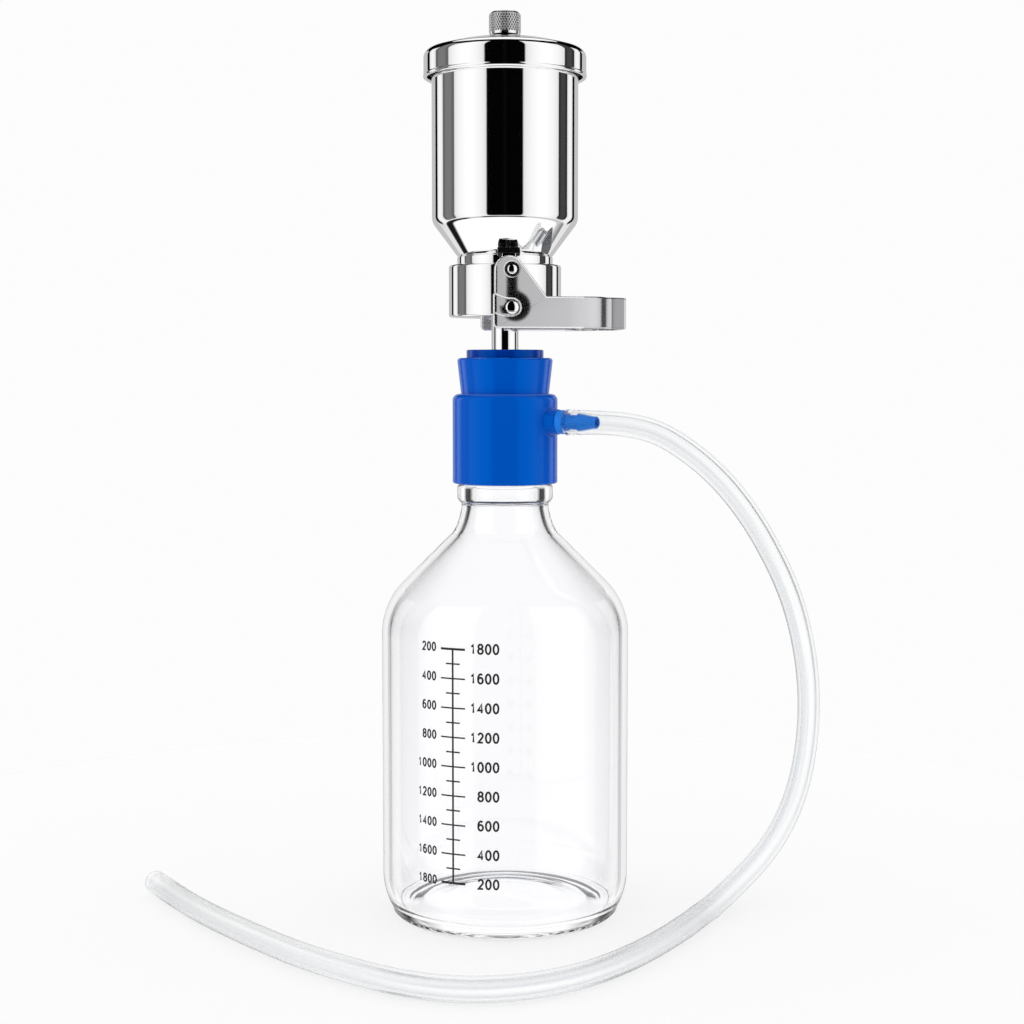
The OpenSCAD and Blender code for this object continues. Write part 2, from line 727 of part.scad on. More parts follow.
module vacuum_hose() {
    last = len(hose_route) - 1;
    n = hose_sides;
    sides = hose_sides_from(0, [0, 0, 1]);
    outer = [for (i = [0:last]) each hose_ring(i, sides[i], hose_outer_r(i))];
    inner = [for (i = [0:last]) each hose_ring(i, sides[i], hose_inner_r(i))];
    start = len(outer);
    walls = [for (i = [0:last - 1], k = [0:n - 1]) let (a = i * n + k, b = i * n + (k + 1) % n)
        each [[a, b, b + n], [a, b + n, a + n],
            [start + a, start + b + n, start + b], [start + a, start + a + n, start + b + n]]];
    ends = [for (k = [0:n - 1]) let (next = (k + 1) % n, z = last * n)
        each [[k, start + k, start + next], [k, start + next, next],
            [z + k, z + next, start + z + next], [z + k, start + z + next, start + z + k]]];
    color(CLEAR) polyhedron(concat(outer, inner), concat(walls, ends));
}

module behind() { mirror([0, 1, 0]) children(); }

bottle();
graduation();
adapter_sleeve();
hose_nipple();
stopper();
stopper_disc();
drain_stem();
filter_base();
lock_stud();  // lock_stud_front
behind() lock_stud();  // lock_stud_rear
base_gasket();
support_screen();
membrane_filter();
funnel_gasket();
funnel();
color(STEEL) hook();  // hook_front
color(STEEL) behind() hook();  // hook_rear
color(DARK_STEEL) hook_screw();  // hook_screw_front
color(DARK_STEEL) behind() hook_screw();  // hook_screw_rear
color(STEEL) pivot_pin();  // pivot_pin_front
color(STEEL) behind() pivot_pin();  // pivot_pin_rear
color(INK) pivot_bush();  // pivot_bush_front
color(INK) behind() pivot_bush();  // pivot_bush_rear
clamp_lever();
lid_gasket();
lid();
vent_stub();
vent_seal();
vent_knob();
vacuum_hose();
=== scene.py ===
from math import atan2, cos, pi, radians, sin

import bmesh
import bpy
import numpy as np
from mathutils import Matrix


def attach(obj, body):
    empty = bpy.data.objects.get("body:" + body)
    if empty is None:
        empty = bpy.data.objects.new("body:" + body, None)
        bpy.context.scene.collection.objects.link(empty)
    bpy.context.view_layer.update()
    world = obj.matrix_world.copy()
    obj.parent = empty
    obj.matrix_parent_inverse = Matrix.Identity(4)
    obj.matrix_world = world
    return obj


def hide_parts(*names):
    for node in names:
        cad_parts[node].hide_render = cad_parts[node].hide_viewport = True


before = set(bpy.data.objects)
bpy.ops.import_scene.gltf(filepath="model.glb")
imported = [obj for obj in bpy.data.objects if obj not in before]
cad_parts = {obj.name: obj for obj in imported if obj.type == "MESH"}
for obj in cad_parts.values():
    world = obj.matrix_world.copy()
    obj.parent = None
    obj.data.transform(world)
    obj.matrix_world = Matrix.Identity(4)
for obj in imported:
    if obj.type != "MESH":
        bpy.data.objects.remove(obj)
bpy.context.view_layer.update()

# ---- Camera ----
# A metre in front of the bench, as high as the bottle's stopper, and tilted a
# little down so that the bottle's foot shows.
TURN, TILT = -6.5, 4.51
camera = bpy.data.objects.new("camera", bpy.data.cameras.new("camera"))
camera.data.sensor_width, camera.data.lens = 36.0, 63.28
camera.location = (-0.1082, -0.9835, 0.3002)
camera.rotation_euler = (radians(90 - TILT), 0, radians(TURN))
bpy.context.collection.objects.link(camera)
bpy.context.scene.camera = camera
bpy.context.scene.view_settings.view_transform = "Standard"
# Light goes to and fro many times in the bottle's walls and between bright parts.
cycles = bpy.context.scene.cycles
cycles.max_bounces, cycles.transmission_bounces, cycles.glossy_bounces = 40, 40, 20

# ---- Studio ----
# A white tent round a white table. Each surface gets the surroundings that suit
# it: polished steel shows black and grey cards as upright bands, clear glass
# shows a black ring as dark lines along its walls, and all else gets soft white.


def linear(colour):
    """sRGB hex to linear light: c / 12.92 up to 0.04045, and above that
    (c + 0.055) / 1.055 to the power 2.4."""
    parts = (int(colour[i:i + 2], 16) / 255 for i in (1, 3, 5))
    return tuple(c / 12.92 if c <= 0.04045 else ((c + 0.055) / 1.055) ** 2.4
                 for c in parts) + (1.0,)


def grey(level):
    return (level, level, level, 1.0)


def outlet(value):
    """A node's first live output, and anything else as it is."""
    if isinstance(value, bpy.types.Node):
        return next(output for output in value.outputs if output.enabled)
    return value


MAIN_SETTING = {"Math": "operation", "VectorMath": "operation", "Mix": "data_type",
                "MapRange": "interpolation_type"}


def add(tree, kind, *values, stops=(), **settings):
    """Adds one node. A word after its kind is its main setting, such as the operation
    of a Math node. values fill its live inputs in order, or one mapping names them, and
    each is a number, a colour in hex, an output or a node. Stops of a colour ramp are
    (place, level of grey), and other settings are the node's own."""
    kind, _, main = kind.partition(" ")
    node = tree.nodes.new("ShaderNode" + kind)
    if main:
        settings[MAIN_SETTING[kind]] = main
    for name, value in settings.items():
        setattr(node, name, value)
    for _ in stops[2:]:
        node.color_ramp.elements.new(1.0)
    for k, (place, level) in enumerate(stops):
        element = node.color_ramp.elements[k]
        element.position, element.color = place, grey(level)
    live = [k for k, socket in enumerate(node.inputs) if socket.enabled]
    named = values and isinstance(values[0], dict)
    for name, value in (values[0] if named else dict(zip(live, values))).items():
        value = linear(value) if isinstance(value, str) else outlet(value)
        if isinstance(value, bpy.types.NodeSocket):
            tree.links.new(value, node.inputs[name])
        else:
            node.inputs[name].default_value = value
    return node


def zoned(tree, angle, zones, edge, low, high):
    """Level of grey against an angle in degrees between low and high: each zone is
    (where it ends, its level), and neighbours run into each other over edge degrees."""
    span = high - low
    stops, start = [], low
    for end, level in zones:
        stops += [((start + edge / 2 - low) / span, level), ((end - edge / 2 - low) / span, level)]
        start = end
    stops[0], stops[-1] = (0.0, stops[0][1]), (1.0, stops[-1][1])
    return add(tree, "ValToRGB", add(tree, "MapRange", angle, low, high), stops=stops)


world = bpy.data.worlds.new("white_tent")
bpy.context.scene.world = world
world.use_nodes = True
world.cycles.sampling_method = "NONE"
sky = world.node_tree
sky.nodes.clear()
way = add(sky, "VectorRotate", {"Vector": add(sky, "TexCoord").outputs["Generated"],
                                "Angle": radians(-TURN)}, rotation_type="Z_AXIS")
way = add(sky, "SeparateXYZ", way)
across, away, rise = (way.outputs[k] for k in "XYZ")
# In degrees: round the unit, from 0 towards the camera to the right, and up.
bearing = add(sky, "Math ARCTAN2", across, add(sky, "Math MULTIPLY", away, -1.0))
bearing = add(sky, "Math DEGREES", bearing)
height = add(sky, "Math DEGREES", add(sky, "Math ARCSINE", rise))

# What polished steel sees. The cards are upright, with rounded corners: how
# deep a direction lies inside a card's sides, and inside its top and bottom,
# goes from degrees to 0.5 + depth / DEEP. The card is where the soft minimum of
# the two is above 0.5, and the tent beside it is a little grey.
BLACK, WHITE = 0.001, 1.04
CARD_EDGES = [-141, -132, -114, -86, -28.5, 28.5, 93, 115, 132, 141]
CARD_LOW, CARD_TOP, MIDDLE_TOP, MIDDLE_HALF_W = -25.0, 48.0, 62.0, 40.0
DEEP, CORNER, CARD_SOFT = 40.0, 0.3, 0.015
depths = [(-180, 0.0)]
for k, (start, end) in enumerate(zip(CARD_EDGES, CARD_EDGES[1:] + [180])):
    within = 1 - 2 * (k % 2)
    depths += [(start, 0.5), ((start + end) / 2, 0.5 + (end - start) / 2 / DEEP * within)]
sides = add(sky, "Math MULTIPLY_ADD", bearing, 1 / 360, 0.5)
sides = add(sky, "ValToRGB", sides, stops=[
    ((angle + 180) / 360, min(max(depth, 0.0), 1.0)) for angle, depth in depths])
card_top = add(sky, "Math COMPARE", bearing, 0.0, MIDDLE_HALF_W)
card_top = add(sky, "Math MULTIPLY_ADD", card_top, MIDDLE_TOP - CARD_TOP, CARD_TOP)
ends = add(sky, "Math MINIMUM", add(sky, "Math SUBTRACT", card_top, height),
            add(sky, "Math SUBTRACT", height, CARD_LOW))
ends = add(sky, "Math MULTIPLY_ADD", ends, 1 / DEEP, 0.5)
inside = add(sky, "Math SMOOTH_MIN", sides, ends, CORNER)
is_card = add(sky, "MapRange", inside, 0.5 - CARD_SOFT, 0.5 + CARD_SOFT)
card_level = zoned(sky, bearing, [
    (-123, BLACK), (-108, 0.13), (-92, 0.19), (-60, 0.13), (-2, BLACK), (2, 0.003),
    (60, BLACK), (97, 0.02), (110, 0.055), (124, 0.02), (180, BLACK)], 3.0, -180, 180)
beside = add(sky, "ValToRGB", inside, stops=[
    (0.0, WHITE), (0.1, WHITE), (0.3, 0.96), (0.42, 0.87), (0.5, 0.76)])

# Overhead a black bar runs round the tent's top, which leans back. All these
# numbers are parts of a direction of length 1.
LEAN_UP, LEAN_BACK, BAR_AT, BAR_HALF_W, BAR_END = 0.92, 0.39, 0.74, 0.155, 0.93
leaned = add(sky, "Math MULTIPLY_ADD", rise, LEAN_UP, add(sky, "Math MULTIPLY", away, LEAN_BACK))
bar = add(sky, "Math MULTIPLY", add(sky, "Math COMPARE", leaned, BAR_AT, BAR_HALF_W),
           add(sky, "Math LESS_THAN", away, BAR_END))
# The far wall behind the unit is pale grey, and narrower above FAR_RISE.
FAR_AT, FAR_IN, FAR_RISE, FAR_TAPER, FAR_GREY = 0.76, 0.785, 0.2, 0.85, 0.55
far = add(sky, "Math MAXIMUM", add(sky, "Math SUBTRACT", rise, FAR_RISE), 0.0)
far = add(sky, "Math MULTIPLY_ADD", far, -FAR_TAPER, away)
far = add(sky, "MapRange", far, FAR_AT, FAR_IN)
# Below the cards the tent's floor shows as a dark line, weaker here and there.
floor_line = zoned(sky, bearing, [
    (-145, 0.5), (-66, 0.01), (-40, 0.55), (36, 0.01), (125, 0.6), (150, 0.2), (180, 0.5)],
    10.0, -180, 180)
at_floor = zoned(sky, height, [(-38, 0.0), (-29, 1.0), (90, 0.0)], 2.0, -90, 90)
in_steel = add(sky, "Mix RGBA", bar, beside, grey(BLACK))
in_steel = add(sky, "Mix RGBA", far, in_steel, grey(FAR_GREY))
in_steel = add(sky, "Mix RGBA", at_floor, in_steel, floor_line)
in_steel = add(sky, "Mix RGBA", is_card, in_steel, card_level)

# What clear glass sees through itself: white behind it, and a black ring from 40
# to 85 degrees off, which draws the dark lines along its walls. The ring is grey
# towards the white behind, pales down to the floor, and ends overhead.
off_axis = add(sky, "Math DIVIDE", add(sky, "Math ARCCOSINE", away), pi / 180)
ring = add(sky, "Math DIVIDE", off_axis, 180.0)
ring = add(sky, "ValToRGB", ring, stops=[(angle / 180, level) for angle, level in (
    (0, WHITE), (27, WHITE), (35, 0.5), (40, 0.02), (85, 0.02), (90, WHITE))])
no_ring = add(sky, "Math MULTIPLY_ADD", height, 1 / 180, 0.5)
no_ring = add(sky, "ValToRGB", no_ring, stops=[
    ((angle + 90) / 180, level) for angle, level in (
        (-90, 1.0), (-26, 1.0), (-12, 0.6), (0, 0.0), (35, 0.0), (50, 1.0))])
through_glass = add(sky, "Mix RGBA", no_ring, ring, grey(WHITE))

# What all else gets is a little brighter at the sides than before and behind:
# 1 + SIDE_SWING * (across^2 - away^2), which still lights the table evenly.
SIDE_SWING, BACKDROP = 0.35, 0.98
swing = (add(sky, "Math POWER", part, 2.0) for part in (across, away))
swing = add(sky, "Math SUBTRACT", *swing)
soft = add(sky, "Math MULTIPLY_ADD", swing, SIDE_SWING, 1.0)

ray = add(sky, "LightPath").outputs
lit = add(sky, "Mix RGBA", ray["Is Glossy Ray"], soft, in_steel)
lit = add(sky, "Mix RGBA", ray["Is Transmission Ray"], lit, through_glass)
lit = add(sky, "Mix RGBA", add(sky, "Math GREATER_THAN", ray["Diffuse Depth"], 0.5), lit, soft)
lit = add(sky, "Mix RGBA", ray["Is Camera Ray"], lit, grey(BACKDROP))
add(sky, "OutputWorld", add(sky, "Background", lit, 1.0))

# ---- Meshes and materials ----
MM = 0.001
WELD = 2e-7


def shell(grid):
    """Points and four-sided faces of a grid of points. Its columns close on themselves,
    and its rows do too, unless its first row is drawn together to a point."""
    rows, columns = grid.shape[:2]
    ends_meet = np.ptp(grid[0], axis=0).max() > 1e-9
    row = np.arange(rows if ends_meet else rows - 1)[:, None] * columns
    column = np.arange(columns)[None, :]
    after, beside = (row + columns) % (rows * columns), (column + 1) % columns
    faces = np.stack([row + column, row + beside, after + beside, after + column], -1)
    return grid.reshape(-1, 3), faces.reshape(-1, 4)


def outwards(points, faces):
    """Turns a closed shell over where its volume, the sum of a . (b x c) / 6 over its
    triangles, comes out negative."""
    a, b, c, d = (points[faces[:, k]] for k in (0, 1, 2, -1))
    volume = np.einsum("ij,ij", a, np.cross(b, c) + np.cross(c, d))
    return faces if volume > 0 else faces[:, ::-1]


def piece(name, grids, material, body="", finish="", replaced=(), marks=None):
    """One object from closed shells, given as grids of points in mm: points that meet
    are welded and faces point outwards. It rides on a body and stands for the replaced
    nodes. marks is a vector for each point, which the material reads with marks_of."""
    shells = [shell(grid) for grid in grids]
    points = np.concatenate([p for p, _ in shells]) * MM
    starts = np.cumsum([0] + [len(p) for p, _ in shells])
    faces = [(outwards(p, f) + start).tolist() for (p, f), start in zip(shells, starts)]
    mesh = bpy.data.meshes.new(name)
    mesh.from_pydata(points.tolist(), [], sum(faces, []))
    if marks is not None:
        layer = mesh.attributes.new("marks", "FLOAT_VECTOR", "POINT")
        layer.data.foreach_set("vector", np.ravel(marks))
    welded = bmesh.new()
    welded.from_mesh(mesh)
    bmesh.ops.remove_doubles(welded, verts=welded.verts, dist=WELD)
    welded.to_mesh(mesh)
    welded.free()
    mesh.shade_smooth()
    mesh.materials.append(material)
    made = bpy.data.objects.new(name, mesh)
    bpy.context.collection.objects.link(made)
    if body:
        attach(made, body)
    if replaced:
        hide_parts(*replaced)
    return made


def surface_of(name, inputs={}):
    """A new material with a Principled shader that has these inputs, and its tree."""
    material = bpy.data.materials.new(name)
    material.use_nodes = True
    tree = material.node_tree
    tree.nodes.clear()
    add(tree, "OutputMaterial", add(tree, "BsdfPrincipled", inputs))
    return material, tree


def feed(tree, name, value):
    """Links an output to an input of the tree's Principled shader."""
    shader = next(n for n in tree.nodes if n.type == "BSDF_PRINCIPLED")
    tree.links.new(outlet(value), shader.inputs[name])


def marks_of(tree):
    """The vector that piece() gave each point."""
    return add(tree, "Attribute", attribute_name="marks").outputs["Vector"]


def grain(tree, size, depth, dull=None, stretch=(1, 1, 1), place=None):
    """The fine texture of a surface: noise with lumps of size mm, times stretch along
    each axis, stands up by as much as depth mm, and takes the roughness from the
    first of dull's values to the second."""
    place = place or add(tree, "TexCoord").outputs["Object"]
    drawn = add(tree, "Mapping", {"Vector": place, "Scale": [1000 / size / k for k in stretch]})
    lumps = add(tree, "TexNoise", {"Vector": drawn, "Scale": 1.0, "Detail": 3.0})
    if depth:
        feed(tree, "Normal", add(tree, "Bump", {"Height": lumps, "Distance": depth / 1000}))
    if dull:
        feed(tree, "Roughness", add(tree, "MapRange", lumps, 0.3, 0.7, *dull))
    return lumps


def mirrored(tree, colour):
    """A colour that a mirror shows as grey: rays off a gloss get grey, and rays through
    glass, which count as both, keep the colour."""
    ray = add(tree, "LightPath").outputs
    ray = add(tree, "Math SUBTRACT", ray["Is Glossy Ray"], ray["Is Transmission Ray"])
    feed(tree, "Base Color", add(tree, "Mix RGBA", ray, colour, "#A0A0A2"))


def wear(node, material):
    """A CAD node that shows as it is gets its material."""
    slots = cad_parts[node].data.materials
    slots.clear()
    slots.append(material)


def circle(steps):
    """Angles of a number of even steps round a circle."""
    return np.arange(steps) * (2 * pi / steps)


# ---- Table ----
# Matt white laminate. To the camera three quarters of it is plain white, which
# keeps shadows faint, and steel and glass see the tent's white floor through it.
TABLE_R, TABLE_TOP, TABLE_T, TABLE_STEPS = 500.0, -0.3, 10.0, 96
PLAIN, PLAIN_LEVEL = 0.75, 0.985
laminate = bpy.data.materials.new("table_laminate")
laminate.use_nodes = True
tree = laminate.node_tree
tree.nodes.clear()
matt = add(tree, "BsdfDiffuse", "#FDFDFD")
white = add(tree, "Emission", {"Strength": PLAIN_LEVEL})
ray = add(tree, "LightPath").outputs
seen = add(tree, "Math MULTIPLY", ray["Is Camera Ray"], PLAIN)
seen = add(tree, "MixShader", seen, matt, white)
seen = add(tree, "MixShader", ray["Is Glossy Ray"], seen, add(tree, "BsdfTransparent"))
add(tree, "OutputMaterial", seen)
rim = circle(TABLE_STEPS)
rim = np.stack([TABLE_R * np.cos(rim), TABLE_R * np.sin(rim)], -1)
rows = [np.c_[rim * k, np.full(TABLE_STEPS, TABLE_TOP - down)]
        for k, down in ((0, 0), (0.99, 0), (1, 0), (1, TABLE_T), (0, TABLE_T))]
piece("table", [np.array(rows)], laminate)

# ---- Vacuum hose ----
# Clear soft PVC tube, 12.7 mm outside and 8 mm inside, pushed over the barb of
# the nipple, which stretches it. It springs out in one curve and lies on the
# table in front of the bottle, its end cut square.
ARM_Z, ARM_AZIMUTH = 272.2, radians(-36.5)
arm_way = np.array([cos(ARM_AZIMUTH), sin(ARM_AZIMUTH), 0.0])
HOSE_R, BORE_R, HOSE_START = 6.35, 4.0, 38.6
LIES_AT = HOSE_R + 0.05
over_nipple = [distance * arm_way + (0, 0, ARM_Z) for distance in (HOSE_START, 45.6, 48.5, 53, 58)]
hose_stops = np.array(over_nipple + [
    [61, -41, 271], [76, -46, 267], [90, -47.5, 259], [103, -47, 249], [125, -40, 226],
    [143, -28, 201], [158, -14, 175], [169, 0, 148], [176, 11, 118], [177, 17, 86],
    [170, 15, 55], [153, 5, 29], [130, -12, 13]] + [[x, y, LIES_AT] for x, y in (
        (109, -36), (91, -63), (71, -90), (49, -115), (24, -136), (-5, -149), (-37, -150),
        (-66, -137), (-91, -115), (-113, -91), (-133, -64), (-151, -37), (-168, -9),
        (-183, 20), (-197, 50))])


def smooth_route(stops, step):
    """A curve through the stops, with points step apart, and closer on its first 8 mm.
    Between two stops each coordinate is a cubic of the length run so far, and slope
    and bend run on through every stop; the bends come from one linear system."""
    run = np.r_[0, np.cumsum(np.linalg.norm(np.diff(stops, axis=0), axis=1))]
    gap = np.diff(run)
    slope = np.diff(stops, axis=0) / gap[:, None]
    system, known = np.eye(len(run)), np.zeros_like(stops)
    inner = np.arange(1, len(run) - 1)
    system[inner, inner - 1], system[inner, inner + 1] = gap[:-1], gap[1:]
    system[inner, inner] = 2 * (gap[:-1] + gap[1:])
    known[inner] = 6 * np.diff(slope, axis=0)
    bend = np.linalg.solve(system, known)
    fine = 8
    at = np.r_[np.arange(0, fine, 0.25), np.linspace(fine, run[-1], round(run[-1] / step) - 3)]
    k = np.clip(np.searchsorted(run, at, side="right") - 1, 0, len(gap) - 1)
    left, right, h = (run[k + 1] - at)[:, None], (at - run[k])[:, None], gap[k][:, None]
    return ((bend[k] * left ** 3 + bend[k + 1] * right ** 3) / (6 * h)
            + (stops[k] / h - bend[k] * h / 6) * left
            + (stops[k + 1] / h - bend[k + 1] * h / 6) * right)


def frames_along(centres):
    """Two directions square to a curve at each of its points. Each pair is the one
    before, turned as little as possible, so a tube along the curve has no twist."""
    way = np.gradient(centres, axis=0)
    way /= np.linalg.norm(way, axis=1)[:, None]
    side, sides = np.array([0.0, 0.0, 1.0]), []
    for w in way:
        side = side - side @ w * w
        side = side / np.linalg.norm(side)
        sides.append(side)
    return np.array(sides), np.cross(way, sides)


HOSE_STEP, HOSE_SIDES, CUT = 2.0, 36, 0.35
hose_line = smooth_route(hose_stops, HOSE_STEP)
hose_line[:, 2] = np.maximum(hose_line[:, 2], LIES_AT)
hose_side, hose_up = frames_along(hose_line)
hose_run = np.r_[0, np.cumsum(np.linalg.norm(np.diff(hose_line, axis=0), axis=1))]
# Stretch over the nipple, outside and bore, against the distance from the end.
outer_r = np.interp(
    hose_run, (0, 0.4, 0.9, 1.5, 2.2, 2.8, 3.4, 4.1, 4.7, 5.4, 8, 10.5, 14, 17, 22),
    (6.7, 7.1, 7.2, 7.0, 6.5, 6.7, 7.05, 6.95, 6.5, 6.55, 6.75, 6.6, 6.42, 6.36, HOSE_R))
inner_r = np.interp(hose_run, (8, 10.5, 14, 17, 22), (5.1, 4.9, 4.4, 4.15, BORE_R))
# Stations in order: out along the outside, over the cut end, back along the
# bore and over the other end; a cut edge is rounded by CUT.
k = np.arange(len(hose_run))
station = np.r_[k, k[-1], k[-1], k[::-1], 0, 0]
station_r = np.r_[outer_r, outer_r[-1] - CUT, inner_r[-1] + CUT, inner_r[::-1],
                  inner_r[0] + CUT, outer_r[0] - CUT]
turn = circle(HOSE_SIDES)[None, :, None]
spoke = hose_side[station][:, None] * np.cos(turn) + hose_up[station][:, None] * np.sin(turn)
hose_grid = hose_line[station][:, None] + station_r[:, None, None] * spoke
# Its marks are its points as they would lie if it were straight along Z.
turn = turn[..., 0]
hose_marks = np.stack(np.broadcast_arrays(
    HOSE_R * np.cos(turn), HOSE_R * np.sin(turn), hose_run[station][:, None]), -1) * MM

# Extruded plasticised PVC: clear, with a soft haze, and faint grey and white
# streaks along it, some 5 mm apart, painted into its colour as painted highlights
# that stand in for the light its walls reflect and bend. Its IOR is well under
# PVC's 1.53, so that the tube darkens no more towards its sides than a soft,
# hazy one does.
hose_pvc, tree = surface_of("hose_clear_pvc", {"IOR": 1.14, "Transmission Weight": 1.0})
painted_streaks = grain(tree, 5.0, 0.0, (0.24, 0.3), (1, 1, 80), marks_of(tree))
painted_streaks = add(tree, "MapRange", painted_streaks, 0.35, 0.65)
feed(tree, "Base Color", add(tree, "Mix RGBA", painted_streaks, "#E8EAEC", "#FFFFFF"))
hose = piece("hose", [hose_grid], hose_pvc, "unit", "hose_clear", ["vacuum_hose"], hose_marks)

# ---- Bottle ----
# Two litre laboratory bottle, blown and fire-polished clear glass with a wall
# near 5 mm, its foot pushed up in the middle. A bead under the plain mouth
# carries the sleeve.
BOTTLE_R, WALL, SHOULDER_Z, SHOULDER_BEND = 68.0, 4.8, 155.4, 40.0
HEEL_R, HEEL_CENTRE = 5.0, np.array([58.5, 5.0])
FLANK_R, FLANK_CENTRE, FLANK_START = 38.0, np.array([30.0, 22.5]), -24
NECK_R, NECK_BLEND_R, NECK_FLARE_R, NECK_Z = 24.0, 29.5, 26.1, 224.5
BEAD_R, BEAD_ROUND, BEAD_Z0, BEAD_Z1 = 26.3, 2.6, 228.2, 238.2
MOUTH_R, MOUTH_BORE_R, MOUTH_Z = 22.25, 18.8, 262.0


def arc(centre, radius, start, end, steps):
    """Points of an arc: centre + radius * (cos, sin) of angles from start to end in degrees."""
    angle = np.radians(np.linspace(start, end, steps + 1))[:, None]
    return centre + radius * np.hstack([np.cos(angle), np.sin(angle)])


def rounded(corners, steps=6):
    """Outline through corners (across, up, bend): each corner gives way to an arc of
    its bend radius that touches both sides, and a point beside each end of the arc
    keeps a flat side flat. A corner with no bend stays as it is."""
    out, corners = [], np.array(corners, float)
    neighbours = np.roll(corners, 1, 0), np.roll(corners, -1, 0)
    for (x, y, bend), before, after in zip(corners, *neighbours):
        tip, u, v = np.array([x, y]), before[:2] - (x, y), after[:2] - (x, y)
        u, v = u / max(np.linalg.norm(u), 1e-9), v / max(np.linalg.norm(v), 1e-9)
        half = np.arccos(np.clip(u @ v, -1, 1)) / 2
        if not bend or half < 0.02 or half > pi / 2 - 0.02:
            out.append([tip])
            continue
        reach = bend / np.tan(half)
        centre = tip + (u + v) / np.linalg.norm(u + v) * bend / sin(half)
        way = np.linspace(0, 1, steps + 1)[:, None]
        full = pi - 2 * half
        a, b = tip + u * reach - centre, tip + v * reach - centre
        curve = centre + (np.sin((1 - way) * full) * a + np.sin(way * full) * b) / sin(full)
        beside = reach + 0.12 * bend
        out += [[tip + u * beside], curve, [tip + v * beside]]
    return np.concatenate(out)


FINE = 192


def turned(outline, steps=160, angles=None):
    """A closed outline of (radius, height) points carried round the Z axis: each
    point runs round a circle (radius cos a, radius sin a, height)."""
    outline = np.asarray(outline, float)
    a = circle(steps) if angles is None else angles
    r, z = outline[:, :1], outline[:, 1:]
    return np.stack(np.broadcast_arrays(r * np.cos(a), r * np.sin(a), z), -1)


def bottle_side(inset):
    """The side of the bottle from its flank to its neck, inset inwards: an arc up to
    the body, an arc over the shoulder to 45 degrees, a straight slope, and a curve
    into the neck that is a parabola between two of its tangents."""
    shoulder = np.array([BOTTLE_R - SHOULDER_BEND, SHOULDER_Z])
    slope_end = shoulder + SHOULDER_BEND * np.array([1, 1]) / np.sqrt(2)
    total = slope_end.sum()
    start = np.array([NECK_BLEND_R, total - NECK_BLEND_R]) - inset / np.sqrt(2)
    corner = np.array([NECK_FLARE_R - inset, total - NECK_FLARE_R - inset * np.tan(pi / 8)])
    end = np.array([NECK_R - inset, NECK_Z])
    t = np.linspace(0, 1, 17)[:, None]
    slope_from = slope_end - inset / np.sqrt(2)
    straight = slope_from + (start - slope_from) * np.linspace(0.1, 0.9, 5)[:, None]
    return np.concatenate([
        arc(FLANK_CENTRE, FLANK_R - inset, FLANK_START, 0, 10),
        [[BOTTLE_R - inset, z] for z in (30, 60, 90, 120, 145)],
        arc(shoulder, SHOULDER_BEND - inset, 0, 45, 24), straight,
        (1 - t) ** 2 * start + 2 * t * (1 - t) * corner + t ** 2 * end])


# Where the heel's arc runs into the flank's, and the height of the foot and of
# the floor in the middle.
HEEL_TURN = np.degrees(atan2(FLANK_CENTRE[1] - HEEL_CENTRE[1], HEEL_CENTRE[0] - FLANK_CENTRE[0]))
FOOT_Z, FLOOR_Z = 5.0, 9.4
foot = rounded([(0, FOOT_Z, 0), (30, 4.2, 60), (45, 2.8, 12), (54, 0, 3), (58.5, 0, 0)])[1:-1]
inside_floor = rounded([(60.9, 10.4, 0), (58.3, 6.5, 2.8), (45, 7.8, 12), (30, 8.8, 60),
                        (0, FLOOR_Z, 0)])[1:-1]
bead = np.concatenate([
    arc((NECK_R + 1.2, BEAD_Z0 - 1.2), 1.2, 180, 90, 4),
    arc((BEAD_R - BEAD_ROUND, BEAD_Z0 + BEAD_ROUND), BEAD_ROUND, -70, 0, 8),
    arc((BEAD_R - BEAD_ROUND, BEAD_Z1 - BEAD_ROUND), BEAD_ROUND, 0, 70, 8),
    arc((MOUTH_R + 1.0, BEAD_Z1 + 0.6), 1.0, 250, 180, 4)])
mouth = rounded([(MOUTH_R, BEAD_Z1 + 2, 0), (MOUTH_R, MOUTH_Z, 1.5), (MOUTH_BORE_R, MOUTH_Z, 1.5),
                 (MOUTH_BORE_R, BEAD_Z0, 0)])[1:-1]
outline = np.concatenate([
    [[0, FOOT_Z]], foot, arc(HEEL_CENTRE, HEEL_R, -90, -HEEL_TURN, 12)[:-1],
    arc(FLANK_CENTRE, FLANK_R, -HEEL_TURN, FLANK_START, 3)[:-1], bottle_side(0), bead, mouth,
    bottle_side(WALL)[::-1], inside_floor, [[0, FLOOR_Z]]])

# Borosilicate glass, fire-polished: colourless, with a faint unevenness from
# blowing that makes reflections waver.
bottle_glass, tree = surface_of("blown_clear_glass", {
    "Base Color": "#FDFDFE", "Roughness": 0.0, "IOR": 1.47, "Transmission Weight": 1.0})
grain(tree, 25.0, 0.05, stretch=(1, 1, 2))
piece("bottle_glass", [turned(outline, FINE)], bottle_glass, "unit",
      "bottle_glass", ["bottle"])

# ---- Graduation ----
# Fired black enamel: a line with a mark for each 200 ml and each 100 ml, and
# numbers that count up on the right and down on the left.
GRAD_Z, GRAD_STEP, GRAD_COUNT, NUMBER_RISE = 31.6, 15.5, 9, 0.6
enamel, tree = surface_of("fired_enamel", {"Base Color": "#141517"})
grain(tree, 1.1, 0.01, (0.35, 0.55))
wear("graduation", enamel)


# The strokes of a printed digit in a box 1 wide and 1 high: each is a curve
# through its points, and one that ends where it starts is closed.
def bow(x, y, wide, high, start, end):
    """Part of an ellipse round (x, y), from one angle to another in degrees."""
    return arc((0, 0), 1.0, start, end, 24) * (wide, high) + (x, y)


